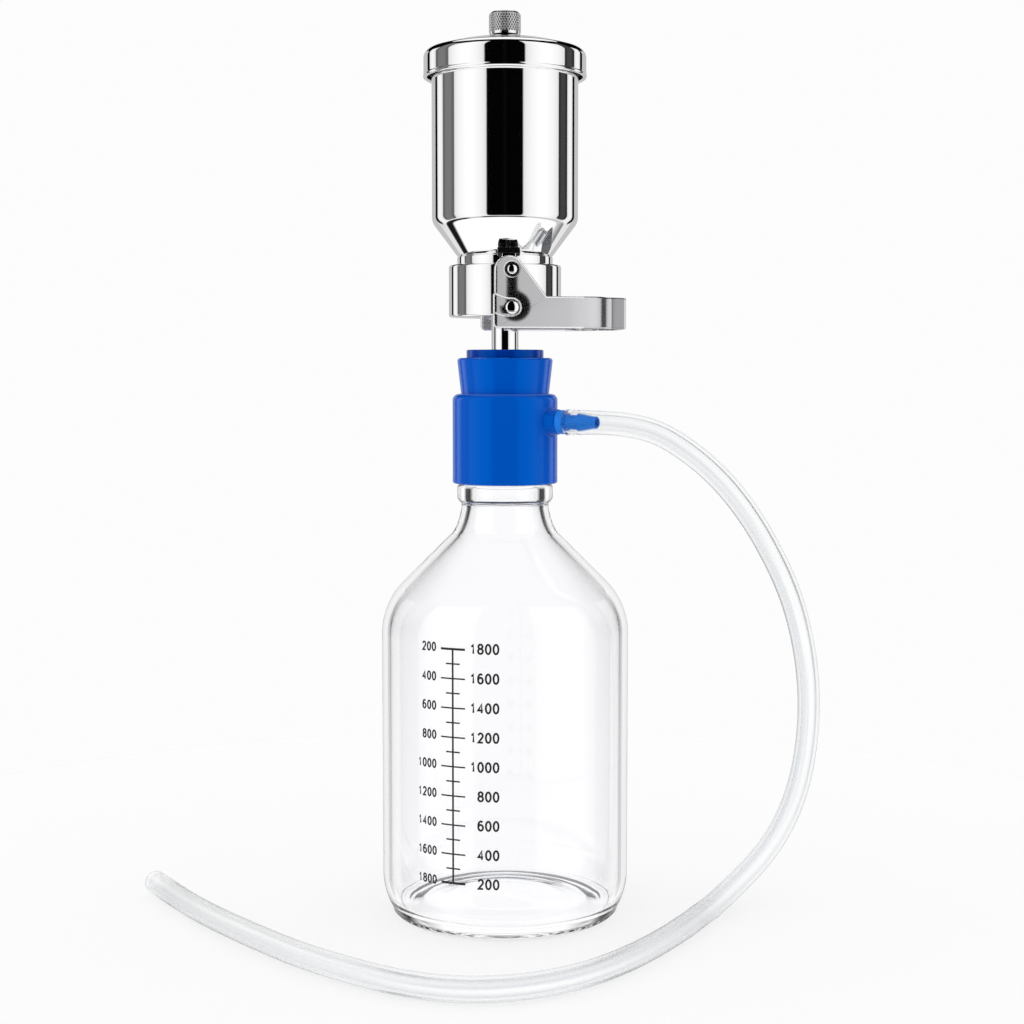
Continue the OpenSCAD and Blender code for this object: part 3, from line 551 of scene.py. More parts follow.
DIGITS = {
    "0": [bow(0.5, 0.5, 0.5, 0.5, 0, 360)],
    "1": [np.array([[0.16, 0.76], [0.42, 0.81], [0.6, 1.0], [0.6, 0]])],
    "2": [np.concatenate([bow(0.5, 0.71, 0.46, 0.29, 170, -28), [[0.04, 0.0], [1.0, 0.0]]])],
    "4": [np.array([[0.74, 0.0], [0.74, 1.0], [0.0, 0.28], [1.0, 0.28]])],
    "6": [bow(0.5, 0.31, 0.49, 0.31, 0, 360), bow(0.53, 0.5, 0.53, 0.5, 52, 200)],
    "8": [bow(0.5, 0.27, 0.5, 0.27, 0, 360), bow(0.5, 0.77, 0.42, 0.23, 0, 360)]}


def stroke(path, wide, low, high):
    """A line drawn along a flat path: four points across it at each station, half of
    wide to either side and from low to high, with mitred turns and square ends."""
    closed = np.allclose(path[0], path[-1])
    path = path[:-1] if closed else path
    ahead, behind = np.roll(path, -1, 0) - path, path - np.roll(path, 1, 0)
    if not closed:
        ahead[-1], behind[0] = behind[-1], ahead[0]
    ahead, behind = (v / np.linalg.norm(v, axis=1)[:, None] for v in (ahead, behind))
    way = ahead + behind
    length = np.maximum(np.linalg.norm(way, axis=1), 0.9)[:, None]
    side = np.stack([way[:, 1], -way[:, 0]], -1) / length ** 2 * wide
    rows = np.stack([np.c_[path + k * side, np.full(len(path), d)]
                     for k, d in ((-1, low), (-1, high), (1, high), (1, low))], 1)
    if closed:
        return rows
    ends = [np.broadcast_to(row.mean(0), (1, 4, 3)) for row in (rows[0], rows[-1])]
    return np.concatenate([ends[0], rows, ends[1]])


def number(text, right_edge, z, high, wide, line):
    """A printed number of strokes line wide, laid round the bottle: a distance x along
    the print turns by x / radius. Digits are wide mm apart and fill 0.88 of that."""
    drawn, fill = [], 0.88
    for place, digit in enumerate(text):
        for depth, path in enumerate(DIGITS[digit]):
            path = path * (wide * fill - line, high - line)
            start = wide * (place - len(text)) + wide * (1 - fill) / 2
            path = path + (start + line / 2, line / 2 - high / 2)
            rows = stroke(path, line, 0.02, 0.1 + 0.005 * depth)
            r, a = BOTTLE_R + rows[..., 2], np.radians(right_edge) + rows[..., 0] / BOTTLE_R
            drawn.append(np.stack([r * np.cos(a), r * np.sin(a), z + rows[..., 1]], -1))
    return drawn


# Azimuth of a number's right edge, height, pitch and line of its digits.
UP_SCALE, DOWN_SCALE = (-98.55, 5.9, 4.05, 1.05), (-128.1, 5.1, 3.2, 0.88)
numbers = []
for i in range(GRAD_COUNT):
    z = GRAD_Z + i * GRAD_STEP + NUMBER_RISE
    for value, (right_edge, *form) in ((i + 1, UP_SCALE), (GRAD_COUNT - i, DOWN_SCALE)):
        numbers += number(str(200 * value), right_edge, z, *form)
piece("graduation_numbers", numbers, enamel, "unit", "enamel_black")

# ---- Sleeve ----
# Moulded blue silicone: it grips the bottle's mouth below and the stopper
# above, and a boss on its side takes the hose nipple.
SLEEVE_R, SLEEVE_Z0, SLEEVE_Z1, SLEEVE_ROUND = 28.8, 238.25, 287.2, 3.6
BOSS_R, BOSS_END, TAIL_R = 7.0, 34.0, 4.3
SEAT_R, SEAT_Z = 24.1, 276.5
STOPPER_R, STOPPER_Z1 = 26.3, 306.8


def stopper_r(z):
    return SEAT_R + (z - SLEEVE_Z1) * (STOPPER_R - SEAT_R) / (STOPPER_Z1 - SLEEVE_Z1)


def smooth_step(x):
    """0 below 0, 1 above 1, and 3x^2 - 2x^3 between."""
    x = np.clip(x, 0, 1)
    return x * x * (3 - 2 * x)


sleeve_outline = rounded([
    (MOUTH_R + 0.05, SLEEVE_Z0, 0.3), (SLEEVE_R + 0.05, SLEEVE_Z0, 1.1),
    (SLEEVE_R + 0.03, 242.0, 0.0)])
# The wall's rows and columns lie close together where the boss stands out.
wall_z = np.r_[np.linspace(243, 262, 10), np.linspace(262.3, 282.1, 110), 282.8,
               SLEEVE_Z1 - SLEEVE_ROUND]
sleeve_wall = np.c_[np.full(len(wall_z), SLEEVE_R), wall_z]
sleeve_outline = np.concatenate([
    sleeve_outline, sleeve_wall,
    arc((SLEEVE_R - SLEEVE_ROUND, SLEEVE_Z1 - SLEEVE_ROUND), SLEEVE_ROUND, 8, 90, 10),
    rounded([(SLEEVE_R - SLEEVE_ROUND, SLEEVE_Z1, 0), (SEAT_R + 0.05, SLEEVE_Z1, 0.5),
             (stopper_r(SEAT_Z) + 0.05, SEAT_Z, 0.3), (21.0, SEAT_Z, 0.3), (21.0, MOUTH_Z, 0.2),
             (MOUTH_R + 0.05, MOUTH_Z, 0.2), (MOUTH_R + 0.05, SLEEVE_Z0, 0)])[1:-1]])
near_boss = ARM_AZIMUTH + np.radians(np.linspace(-19, 19, 120))
around = circle(160)
off_boss = np.abs((around - ARM_AZIMUTH + pi) % (2 * pi) - pi) > radians(19.5)
around = np.sort(np.r_[around[off_boss], near_boss % (2 * pi)])
grid = turned(sleeve_outline, angles=around)
# The boss stands out of the wall: a point nearer to the arm's axis than the
# boss radius moves out along the arm to the boss's end, over a soft edge, and
# a shallow groove runs round its root.
offset = grid - (0, 0, ARM_Z)
along = offset @ arm_way
from_axis = np.linalg.norm(offset - along[..., None] * arm_way, axis=-1)
is_wall = (np.hypot(grid[..., 0], grid[..., 1]) > SLEEVE_R - 0.01) & (along > 20)
lift = smooth_step((BOSS_R + 0.35 - from_axis) / 0.7) * is_wall
groove = 0.5 * np.maximum(1 - np.abs(from_axis - BOSS_R - 0.75) / 0.5, 0) * is_wall
grid = grid + (lift * (BOSS_END - along) - groove)[..., None] * arm_way


# Silicone from a polished mould: deep blue, with a satin gloss that is tinted
# blue, so that it stays deep under the white tent.
silicone_blue, tree = surface_of("moulded_blue_silicone", {
    "Specular IOR Level": 0.8, "Specular Tint": "#00A0FF"})
mirrored(tree, "#0056C6")
grain(tree, 0.4, 0.002, (0.13, 0.2))
piece("sleeve", [grid], silicone_blue, "unit", "silicone_blue", ["adapter_sleeve"])

# ---- Hose nipple ----
# Moulded blue polypropylene, pressed into the boss up to its collar, with one
# barb that the hose is stretched over.


def laid_along(grid, start, way):
    """Turns a shape made along +Z so that it points along way from start."""
    way = np.array(way, float)
    side = np.cross((0, 0, 1), way)
    return (start + grid[..., :1] * side + grid[..., 1:2] * np.cross(way, side)
            + grid[..., 2:] * way)


nipple = rounded([
    (2.5, 20.6, 0.2), (TAIL_R - 0.03, 20.6, 0.2), (TAIL_R - 0.03, BOSS_END, 0),
    (6.5, BOSS_END, 0.4), (6.5, 38.2, 0.7), (4.0, 38.2, 0.3), (4.0, 45.6, 0.3), (4.85, 46.3, 0.3),
    (3.3, 55.2, 1.0), (3.3, 57.0, 0.3), (2.5, 57.0, 0.2)])
# A lighter, clearer blue with a waxy gloss.
polypropylene, tree = surface_of("moulded_blue_polypropylene", {
    "Specular IOR Level": 0.6, "Specular Tint": "#40A0FF"})
mirrored(tree, "#2A86F0")
grain(tree, 1.5, 0.005, (0.22, 0.32))
piece("nipple", [laid_along(turned(nipple, 64), (0, 0, ARM_Z), arm_way)],
      polypropylene, "unit", "plastic_blue", ["hose_nipple"])

# ---- Stopper ----
# A tapered plug of the same silicone, pressed into the sleeve, with a firmer
# disc on it that spreads the weight of the filter base.
STEM_R, STEM_WALL, STEM_Z0 = 7.4, 2.0, 248.0
DISC_R, DISC_Z1 = 21.1, 311.2
plug = rounded([(STEM_R + 0.02, SEAT_Z, 0.3), (stopper_r(SEAT_Z), SEAT_Z, 0.5),
                (STOPPER_R, STOPPER_Z1, 1.7), (STEM_R + 0.02, STOPPER_Z1, 0.3)])
piece("stopper_plug", [turned(plug)], silicone_blue, "unit", "silicone_blue", ["stopper"])
# A deeper blue with a satin face.
deep_blue, tree = surface_of("moulded_deep_blue_plastic", {
    "Base Color": "#0038A0", "Specular IOR Level": 1.0, "Specular Tint": "#0098FF"})
grain(tree, 1.2, 0.004, (0.14, 0.22))
disc = rounded([(STEM_R + 0.02, STOPPER_Z1, 0.2), (DISC_R, STOPPER_Z1, 0.2), (DISC_R, DISC_Z1, 0.6),
                (STEM_R + 0.02, DISC_Z1, 0.3)])
piece("stopper_disc_plate", [turned(disc)], deep_blue, "unit", "plastic_deep_blue",
      ["stopper_disc"])

# ---- Drain stem and filter base ----
# Turned and polished stainless steel. The stem is brazed into the base and
# runs through the stopper; the base is a bowl with a recess for the funnel.
BASE_R, BASE_Z0, BASE_Z1 = 30.6, 328.9, 356.9
SEAT_TOP, SCREEN_R, RECESS_Z, FOOT_R = 345.0, 24.0, 347.8, 26.0

# Stainless steel, turned and mirror-polished: nearly as bright as silver, with
# a faint haze and hair-fine turning lines that soften its reflections.
polished_steel, tree = surface_of("polished_stainless", {
    "Metallic": 1.0, "Base Color": "#FBFBFB"})
grain(tree, 0.5, 0.00002, (0.03, 0.055), (12, 12, 1))
STEEL = polished_steel, "unit", "steel_polished"
piece("stem", [turned(rounded([
    (STEM_R - STEM_WALL, STEM_Z0, 0.2), (STEM_R, STEM_Z0, 0.3), (STEM_R, BASE_Z0 + 4, 0.1),
    (STEM_R - STEM_WALL, BASE_Z0 + 4, 0.1)]), 96)], *STEEL, ["drain_stem"])
base = rounded([
    (STEM_R + 0.02, BASE_Z0, 0.2), (BASE_R, BASE_Z0, 1.2), (BASE_R, BASE_Z1, 1.2),
    (FOOT_R + 0.2, BASE_Z1, 0.4), (FOOT_R + 0.2, RECESS_Z, 0.1), (SCREEN_R + 0.02, RECESS_Z, 0.1),
    (SCREEN_R + 0.02, SEAT_TOP, 0.1), (20.5, SEAT_TOP, 0.3), (5.5, 335, 2.0),
    (5.5, BASE_Z0 + 4.02, 0.1), (STEM_R + 0.02, BASE_Z0 + 4.02, 0.1)])
piece("base", [turned(base)], *STEEL, ["filter_base"])

# ---- Seals and screen inside the base ----
# A perforated steel disc on a silicone ring carries the paper-thin membrane,
# and another ring seals the funnel's foot. The CAD solids show as they are.
satin_steel, tree = surface_of("satin_stainless", {"Metallic": 1.0, "Base Color": "#D8D8D9"})
grain(tree, 0.3, 0.002, (0.3, 0.42), (20, 1, 1))
white_silicone, tree = surface_of("moulded_white_silicone", {"Base Color": "#EFEFE8"})
grain(tree, 0.8, 0.01, (0.5, 0.62))
membrane, tree = surface_of("cellulose_membrane", {"Base Color": "#F8F8F6"})
grain(tree, 0.25, 0.01, (0.8, 0.92))
for node, material in (("support_screen", satin_steel), ("base_gasket", white_silicone),
                       ("funnel_gasket", white_silicone), ("lid_gasket", white_silicone),
                       ("membrane_filter", membrane)):
    wear(node, material)

# ---- Funnel ----
# Spun and polished stainless sheet on a turned foot, with its rim rolled out
# for the lid.
FUNNEL_R, SHEET, FUNNEL_Z1, RIM_R, RIM_H = 39.7, 1.2, 468.0, 41.6, 2.0
FUNNEL_Z0, FOOT_Z1, CONE_Z0, CONE_R0, CONE_Z1 = 349.8, 361.6, 362.2, 26.1, 380.3
CONE_SLOPE = (FUNNEL_R - CONE_R0) / (CONE_Z1 - CONE_Z0)
INNER_Z = CONE_Z1 + SHEET * (np.hypot(1, CONE_SLOPE) - 1) / CONE_SLOPE
THROAT_R = 19.5
funnel = rounded([
    (THROAT_R, FUNNEL_Z0, 0.2), (FOOT_R, FUNNEL_Z0, 0.3), (FOOT_R, FOOT_Z1, 0.5),
    (25.5, FOOT_Z1 + 0.05, 0.15), (25.5, CONE_Z0, 0.15), (CONE_R0, CONE_Z0, 0.25),
    (FUNNEL_R, CONE_Z1, 8.0), (FUNNEL_R, FUNNEL_Z1 - RIM_H, 0.8), (RIM_R, FUNNEL_Z1 - RIM_H, 0.8),
    (RIM_R, FUNNEL_Z1, 0.8), (FUNNEL_R - SHEET, FUNNEL_Z1, 0.4), (FUNNEL_R - SHEET, INNER_Z, 6.8),
    (THROAT_R, INNER_Z - (FUNNEL_R - SHEET - THROAT_R) / CONE_SLOPE, 2.0)])
piece("funnel_body", [turned(funnel, FINE)], *STEEL,
      ["funnel"])

# ---- Hooks, screws, pins and studs ----
# On each side a strap with a rolled top is screwed to the funnel's foot and
# carries a pressed pin, which the lever turns on. Below it, a stud on a
# welded pad is what the lever's slot locks round.
HOOK_X, HOOK_HALF_W, HOOK_Y0, HOOK_Y1, HOOK_Z0 = -1.5, 3.7, 31.0, 33.0, 347.6
ROLL_R, ROLL_HALF_W, ROLL_Y, ROLL_Z = 2.4, 6.0, 30.8, 362.6
LUG_Z0, LUG_Z1, SCREW_Z, PIN_Z, PIN_R, PIN_END = 357.1, 361.4, 359.2, 353.2, 2.85, 36.0
STUD_Z, STUD_R, DOME_H = 333.2, 3.55, 1.2
PAD_X, PAD_HALF_W, PAD_Z0, PAD_Z1, PAD_Y0 = -1.8, 7.8, 329.4, 341.0, 28.6
RIVET_R, RIVET_PROUD, BUSH_R, BUSH_Y0, BUSH_Y1 = 1.5, 0.7, 3.65, 33.3, 35.5
SCREW_R, SCREW_Y0, HEAD_R, HEAD_H, SOCKET_R, SOCKET_H = 1.2, 22.6, 2.4, 1.3, 1.0, 0.8


def plate(outline, low, high, edge, steps=4):
    """A flat plate between low and high over a convex outline of (u, v) points. Its
    rim is a quarter circle of radius edge at each face; a face closes on its middle."""
    outline = np.asarray(outline, float)
    ahead, behind = np.roll(outline, -1, 0) - outline, outline - np.roll(outline, 1, 0)
    square = sum(v / np.linalg.norm(v, axis=1)[:, None] for v in (ahead, behind))
    square = np.stack([square[:, 1], -square[:, 0]], -1) / np.linalg.norm(square, axis=1)[:, None]
    middle = outline.mean(0)
    angle = np.linspace(0, pi / 2, steps + 1)
    inset, depth = edge * (1 - np.sin(angle)), edge * (1 - np.cos(angle))
    inset = np.r_[edge * 1.3, inset, inset[::-1], edge * 1.3]
    depth = np.r_[low, low + depth, high - depth[::-1], high]
    rings = outline[None] - inset[:, None, None] * square[None]
    rings = np.stack(np.broadcast_arrays(rings[..., 0], rings[..., 1], depth[:, None]), -1)
    ends = [np.broadcast_to(np.r_[middle, z], (1,) + rings.shape[1:]) for z in (low, high)]
    return np.concatenate([ends[0], rings, ends[1]])


def box_outline(x, half_w, z0, z1, bend):
    """A rectangle with rounded corners."""
    return rounded([(x - half_w, z0, bend), (x + half_w, z0, bend), (x + half_w, z1, bend),
                    (x - half_w, z1, bend)])


def domed(foot, radius, start):
    """An outline from its foot up to a low dome, which starts at an angle in degrees."""
    top = arc((0, 0), 1.0, start, 90, 16) * (radius, DOME_H) + (0, PIN_END - DOME_H)
    return np.concatenate([foot, top])


def facing(grid, side):
    """Stands up a shape made in (x, z, outwards), to face the front, where side is -1,
    or the back, where it is 1."""
    return np.stack([grid[..., 0], side * grid[..., 2], grid[..., 1]], -1)


def round_part(outline, x, z, side, steps=48):
    """A turned part whose axis runs outwards at (x, z)."""
    return facing(turned(outline, steps) + (x, z, 0), side)


# Turned steel left dark, and moulded black acetal, both with a dull gloss.
dark_steel, tree = surface_of("dark_turned_steel", {"Metallic": 1.0, "Base Color": "#3A3A3C"})
grain(tree, 0.5, 0.0015, (0.22, 0.34))
DARK_STEEL = dark_steel, "unit", "steel_dark"
black_acetal, tree = surface_of("moulded_black_acetal", {"Base Color": "#0C0C0C"})
grain(tree, 0.8, 0.004, (0.32, 0.45))

# Tumbled and polished sheet: its flats bow out by a slope that is too small to
# model, and so mirror a paler part of the tent, except where the sheet dips from
# under the pivot round the slot's end. Its tumbled rims are painted paler, a
# painted highlight, and the handle's end is painted darker, a painted reflection.
sheet_steel, tree = surface_of("tumbled_sheet_stainless")
spot = add(tree, "TexCoord").outputs
at_x, _, at_z = add(tree, "SeparateXYZ", spot["Object"]).outputs
at_x, at_z = (add(tree, "Math MULTIPLY", value, 1000.0) for value in (at_x, at_z))
DIP_R, DIP_X, DIP_Z, DIP_SOFT, DIP_BLEND, DIP_LEFT = 7.2, 1.8, 333.7, 2.0, 4.0, -2.3
NECK_HALF_W, NECK_X, NECK_BOTTOM, NECK_TOP = 2.2, -0.2, 338.0, 349.5
# How far outside the dip a point lies, in mm: from a disc, a neck above it and,
# on the left, from the pad's upper part, blended into one.
from_dip = (add(tree, "Math POWER", add(tree, "Math SUBTRACT", value, middle), 2.0)
            for value, middle in ((at_x, DIP_X), (at_z, DIP_Z)))
from_dip = add(tree, "Math SQRT", add(tree, "Math ADD", *from_dip))
from_dip = add(tree, "Math SUBTRACT", from_dip, DIP_R)
from_neck = []
for value, middle, half in ((at_x, NECK_X, NECK_HALF_W),
                            (at_z, (NECK_BOTTOM + NECK_TOP) / 2, (NECK_TOP - NECK_BOTTOM) / 2)):
    off = add(tree, "Math ABSOLUTE", add(tree, "Math SUBTRACT", value, middle))
    from_neck.append(add(tree, "Math SUBTRACT", off, half))
from_neck = add(tree, "Math MAXIMUM", *from_neck)
dip = add(tree, "Math SMOOTH_MIN", from_dip, from_neck, DIP_BLEND)
left = add(tree, "Math MINIMUM", add(tree, "Math SUBTRACT", DIP_LEFT, at_x),
            add(tree, "Math SUBTRACT", at_z, STUD_Z))
dip = add(tree, "Math SMOOTH_MAX", dip, left, 1.0)
bowed = add(tree, "MapRange SMOOTHSTEP", dip, -DIP_SOFT, DIP_SOFT)
bowed = add(tree, "Math MULTIPLY", bowed, add(tree, "MapRange SMOOTHSTEP", at_x, -8.9, -7.6))
# How far the normal leans along X, against x in mm: more towards the handle's
# first bend, back through it, and forward again at the handle's end.
LEAN_X0, LEAN_X1 = -10.0, 70.0
lean = add(tree, "ValToRGB", add(tree, "MapRange", at_x, LEAN_X0, LEAN_X1), stops=[
    ((x - LEAN_X0) / (LEAN_X1 - LEAN_X0), slope + 1) for x, slope in (
        (30, 0.17), (39.5, 0.26), (41.5, 0.17), (47.3, -0.1), (48.3, -0.17), (51.6, -0.48),
        (55, -0.24), (55.5, 0.0), (61, 0.0), (63, -0.45), (64.6, -0.9))])
lean = add(tree, "Math MULTIPLY", add(tree, "Math SUBTRACT", lean, 1.0), bowed)
lean = add(tree, "VectorMath ADD", spot["Normal"], add(tree, "CombineXYZ", lean))
feed(tree, "Normal", add(tree, "VectorTransform", lean, vector_type="NORMAL",
                         convert_from="OBJECT", convert_to="WORLD"))
# A rim is where the surface turns off the sheet's face, up to the first bend: its
# paler, less metallic and rougher colour is a painted highlight. The handle's end
# is painted a darker grey, a painted reflection of something grey, and is rougher.
RIM_END, GREY_END_FROM, GREY_END_TO = 38.0, 55.3, 62.9
flat = add(tree, "Math ABSOLUTE", add(tree, "SeparateXYZ", spot["Normal"]).outputs["Y"])
is_rim = add(tree, "MapRange", flat, 0.985, 0.995, 1.0, 0.0)
is_rim = add(tree, "Math MULTIPLY", is_rim, add(tree, "Math LESS_THAN", at_x, RIM_END))
painted_grey_end = add(tree, "Math MULTIPLY", add(tree, "Math GREATER_THAN", at_x, GREY_END_FROM),
            add(tree, "Math LESS_THAN", at_x, GREY_END_TO))
# Painted highlight on the rims, and a painted grey reflection on the handle's end.
rim_highlight = add(tree, "Mix RGBA", is_rim, "#D2D2D4", "#FAFAFA")
feed(tree, "Base Color", add(tree, "Mix RGBA", painted_grey_end, rim_highlight, "#A2A2A4"))
feed(tree, "Metallic", add(tree, "Math MULTIPLY_ADD", is_rim, -0.3, 1.0))
rough = add(tree, "Math MULTIPLY_ADD", grain(tree, 0.8, 0.0), 0.06, 0.16)
rough = add(tree, "Math ADD", rough, add(tree, "Math MULTIPLY", is_rim, 0.1))
feed(tree, "Roughness", add(tree, "Math MULTIPLY_ADD", painted_grey_end, 0.1, rough))

for side, where in ((-1, "front"), (1, "rear")):
    strap = plate(box_outline(HOOK_X, HOOK_HALF_W, HOOK_Z0, ROLL_Z, 1.0), HOOK_Y0, HOOK_Y1, 0.4)
    lug = plate(box_outline(HOOK_X, HOOK_HALF_W - 0.1, LUG_Z0, LUG_Z1, 0.5),
                FOOT_R - 0.4, HOOK_Y0 + 0.3, 0.3)
    piece("hook_strap_" + where, [facing(strap, side), facing(lug, side)],
          *STEEL, ["hook_" + where])
    # The roll lies across the strap's top, and its rivet stands in it.
    roll = turned(rounded([(0, -ROLL_HALF_W, 0), (ROLL_R, -ROLL_HALF_W, 0.6),
                           (ROLL_R, ROLL_HALF_W, 0.6), (0, ROLL_HALF_W, 0)]), 48)
    roll = roll[..., [2, 0, 1]] * (1, side, 1) + (HOOK_X, side * ROLL_Y, ROLL_Z)
    rivet = turned(rounded([(0, 0, 0), (RIVET_R, 0, 0), (RIVET_R, ROLL_R + RIVET_PROUD, 0.6),
                            (0, ROLL_R + RIVET_PROUD, 0)]), 24)
    rivet = rivet + (HOOK_X, side * ROLL_Y, ROLL_Z)
    piece("hook_roll_" + where, [roll, rivet], *DARK_STEEL)
    screw = rounded([
        (0, SCREW_Y0, 0), (SCREW_R, SCREW_Y0, 0.1), (SCREW_R, HOOK_Y1 - HEAD_H, 0.1),
        (HEAD_R, HOOK_Y1 - HEAD_H, 0.1), (HEAD_R, HOOK_Y1, 0.3), (SOCKET_R, HOOK_Y1, 0.1),
        (SOCKET_R, HOOK_Y1 - SOCKET_H, 0.1), (0, HOOK_Y1 - SOCKET_H, 0)])
    piece("hook_screw_head_" + where, [round_part(screw, HOOK_X, SCREW_Z, side)],
          *DARK_STEEL, ["hook_screw_" + where])
    pin = rounded([(0, HOOK_Y0, 0), (PIN_R, HOOK_Y0, 0.1), (PIN_R, PIN_END - DOME_H, 0.1)])
    pin = domed(pin[:-1], PIN_R, 4)
    piece("pivot_pin_end_" + where, [round_part(pin, 0, PIN_Z, side)],
          *STEEL, ["pivot_pin_" + where])
    bush = rounded([(PIN_R + 0.05, BUSH_Y0, 0.05), (BUSH_R, BUSH_Y0, 0.05), (BUSH_R, BUSH_Y1, 0.15),
                    (PIN_R + 0.05, BUSH_Y1, 0.1)])
    piece("bush_" + where, [round_part(bush, 0, PIN_Z, side)], black_acetal, "lever",
          "plastic_black", ["pivot_bush_" + where])
    stud = domed([[0, 27], [STUD_R, 27], [STUD_R, PIN_END - DOME_H - 0.3]], STUD_R, 2)
    piece("stud_" + where, [round_part(stud, 0, STUD_Z, side)],
          *STEEL, ["lock_stud_" + where])
    pad = plate(box_outline(PAD_X, PAD_HALF_W, PAD_Z0, PAD_Z1, 1.5), PAD_Y0, HOOK_Y1, 0.6)
    piece("stud_pad_" + where, [facing(pad, side)], sheet_steel, "unit",
          "steel_polished")

# ---- Clamp lever ----
# One blank of 2 mm stainless sheet, cut with its slots and holes, edges
# tumbled round, polished, then bent into a handle between two cheeks. Locked,
# its slots hold the studs and pull the base up against the funnel.
LEVER_T, CHEEK_Y, ARM_Z0, ARM_Z1, ARM_END = 2.0, 33.3, 322.2, 339.1, 39.5
TOP_X, TOP_Z, TOP_R, LEFT_X, CORNER_R, SLOPE_X = -1.6, 352.6, 7.9, -10.2, 2.8, 18.4
SLOT_HALF_W, SLOT_SWEEP_HIGH, SLOT_SWEEP_LOW, NOSE_Z, JAW_Z = 4.2, 27.5, 22.5, 340.2, 330.4
BEND_IN, BEND_IN_R, RUN_1, BEND_BACK_R, HANDLE_TURN, RUN_2, END_R = 60, 11, 4, 16, 25, 3, 5
LEVER_EDGE, STRIP = 0.9, 0.8

slope_to = np.array([SLOPE_X, ARM_Z1]) - (TOP_X, TOP_Z)
slope_angle = atan2(slope_to[1], slope_to[0]) + np.arccos(TOP_R / np.linalg.norm(slope_to))
bend_runs = [0, radians(BEND_IN) * BEND_IN_R, RUN_1, radians(BEND_IN - HANDLE_TURN) * BEND_BACK_R,
             RUN_2, radians(90 - HANDLE_TURN) * END_R]
headings = np.radians([0, BEND_IN, BEND_IN, HANDLE_TURN, HANDLE_TURN, 90])
bend_starts = ARM_END + np.cumsum(bend_runs)
fine = np.linspace(ARM_END, bend_starts[-1], 2000)
heading = np.interp(fine, bend_starts, headings)
step_x, step_y = (np.r_[0, np.cumsum(of((heading[1:] + heading[:-1]) / 2) * np.diff(fine))]
                  for of in (np.cos, np.sin))
HALF = bend_starts[-1] + (CHEEK_Y + LEVER_T / 2 - step_y[-1])


def bent(along, out):
    """Bends the flat blank: along it the sheet's heading turns at a steady rate in each
    bend, and a point out from the middle of the sheet goes square to it. The far half
    mirrors the near half."""
    s = np.minimum(along, 2 * HALF - along)
    t = np.clip(s, ARM_END, bend_starts[-1])
    turn = np.where(s > bend_starts[-1], pi / 2, np.interp(t, bend_starts, headings))
    x = np.where(s < ARM_END, s, ARM_END + np.interp(t, fine, step_x)) + np.sin(turn) * out
    y = -(CHEEK_Y + LEVER_T / 2) + np.interp(t, fine, step_y) + np.maximum(s - bend_starts[-1], 0)
    y = y - np.cos(turn) * out
    return x, np.where(along > HALF, -y, y)


near = np.concatenate([
    [[SLOPE_X, ARM_Z1]], arc((TOP_X, TOP_Z), TOP_R, np.degrees(slope_angle), 180, 14),
    [[TOP_X - TOP_R, NOSE_Z]]])
slot_r = PIN_Z - STUD_Z
slot = np.concatenate([
    arc((0, PIN_Z), slot_r - SLOT_HALF_W, -90 - SLOT_SWEEP_HIGH, -90, 12)[:-1],
    arc((0, STUD_Z), SLOT_HALF_W, 90, -90, 16)[:-1],
    arc((0, PIN_Z), slot_r + SLOT_HALF_W, -90, -90 - SLOT_SWEEP_LOW, 12)])
lower = np.concatenate([
    [[LEFT_X, JAW_Z]], arc((LEFT_X + CORNER_R, ARM_Z0 + CORNER_R), CORNER_R, 180, 270, 8)])
half_outline = np.concatenate([near, slot, lower])
far_half = half_outline[::-1] * (-1, 1) + (2 * HALF, 0)
hole = arc((0, PIN_Z), BUSH_R, 0, 360, 32)[:-1]


def blank_mesh():
    """The flat blank: its outline and two holes filled, given the sheet's thickness,
    its rims rounded, cut into narrow strips where it will bend, then bent."""
    flat = bmesh.new()
    for loop in (np.concatenate([half_outline, far_half]), hole, hole * (-1, 1) + (2 * HALF, 0)):
        corners = [flat.verts.new((x, -LEVER_T / 2, z)) for x, z in loop]
        for a, b in zip(corners, corners[1:] + corners[:1]):
            flat.edges.new((a, b))
    bmesh.ops.triangle_fill(flat, edges=flat.edges[:], use_beauty=True)
    made = bmesh.ops.extrude_face_region(flat, geom=flat.faces[:])
    moved = [v for v in made["geom"] if isinstance(v, bmesh.types.BMVert)]
    bmesh.ops.translate(flat, vec=(0, LEVER_T, 0), verts=moved)
    bmesh.ops.recalc_face_normals(flat, faces=flat.faces[:])
    # A rim's edge lies between a face of the sheet and the cut through it.
    rims = [e for e in flat.edges if len(e.link_faces) == 2
            and 0.5 < sum(abs(f.normal.y) for f in e.link_faces) < 1.5]
    bmesh.ops.bevel(flat, geom=rims, offset=LEVER_EDGE, segments=3, profile=0.5, affect="EDGES",
                    clamp_overlap=False)
    cuts = np.r_[np.arange(ARM_END, bend_starts[-1] + 0.5, STRIP), bend_starts]
    for cut in np.r_[cuts, 2 * HALF - cuts]:
        bmesh.ops.bisect_plane(flat, geom=flat.verts[:] + flat.edges[:] + flat.faces[:],
                               plane_co=(cut, 0, 0), plane_no=(1, 0, 0), dist=1e-5)
    for edge in flat.edges:
        flats = [abs(f.normal.y) > 0.9999 for f in edge.link_faces]
        edge.smooth = len(flats) == 2 and flats[0] == flats[1]
    mesh = bpy.data.meshes.new("lever")
    flat.to_mesh(mesh)
    flat.free()
    points = np.zeros(len(mesh.vertices) * 3)
    mesh.vertices.foreach_get("co", points)
    points = points.reshape(-1, 3)
    x, y = bent(points[:, 0], -points[:, 1])
    mesh.vertices.foreach_set("co", (np.stack([x, y, points[:, 2]], -1) * MM).ravel())
    mesh.polygons.foreach_set("use_smooth", [True] * len(mesh.polygons))
    return mesh


lever = bpy.data.objects.new("lever_sheet", blank_mesh())
bpy.context.collection.objects.link(lever)
lever.data.materials.append(sheet_steel)
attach(lever, "lever")
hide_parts("clamp_lever")

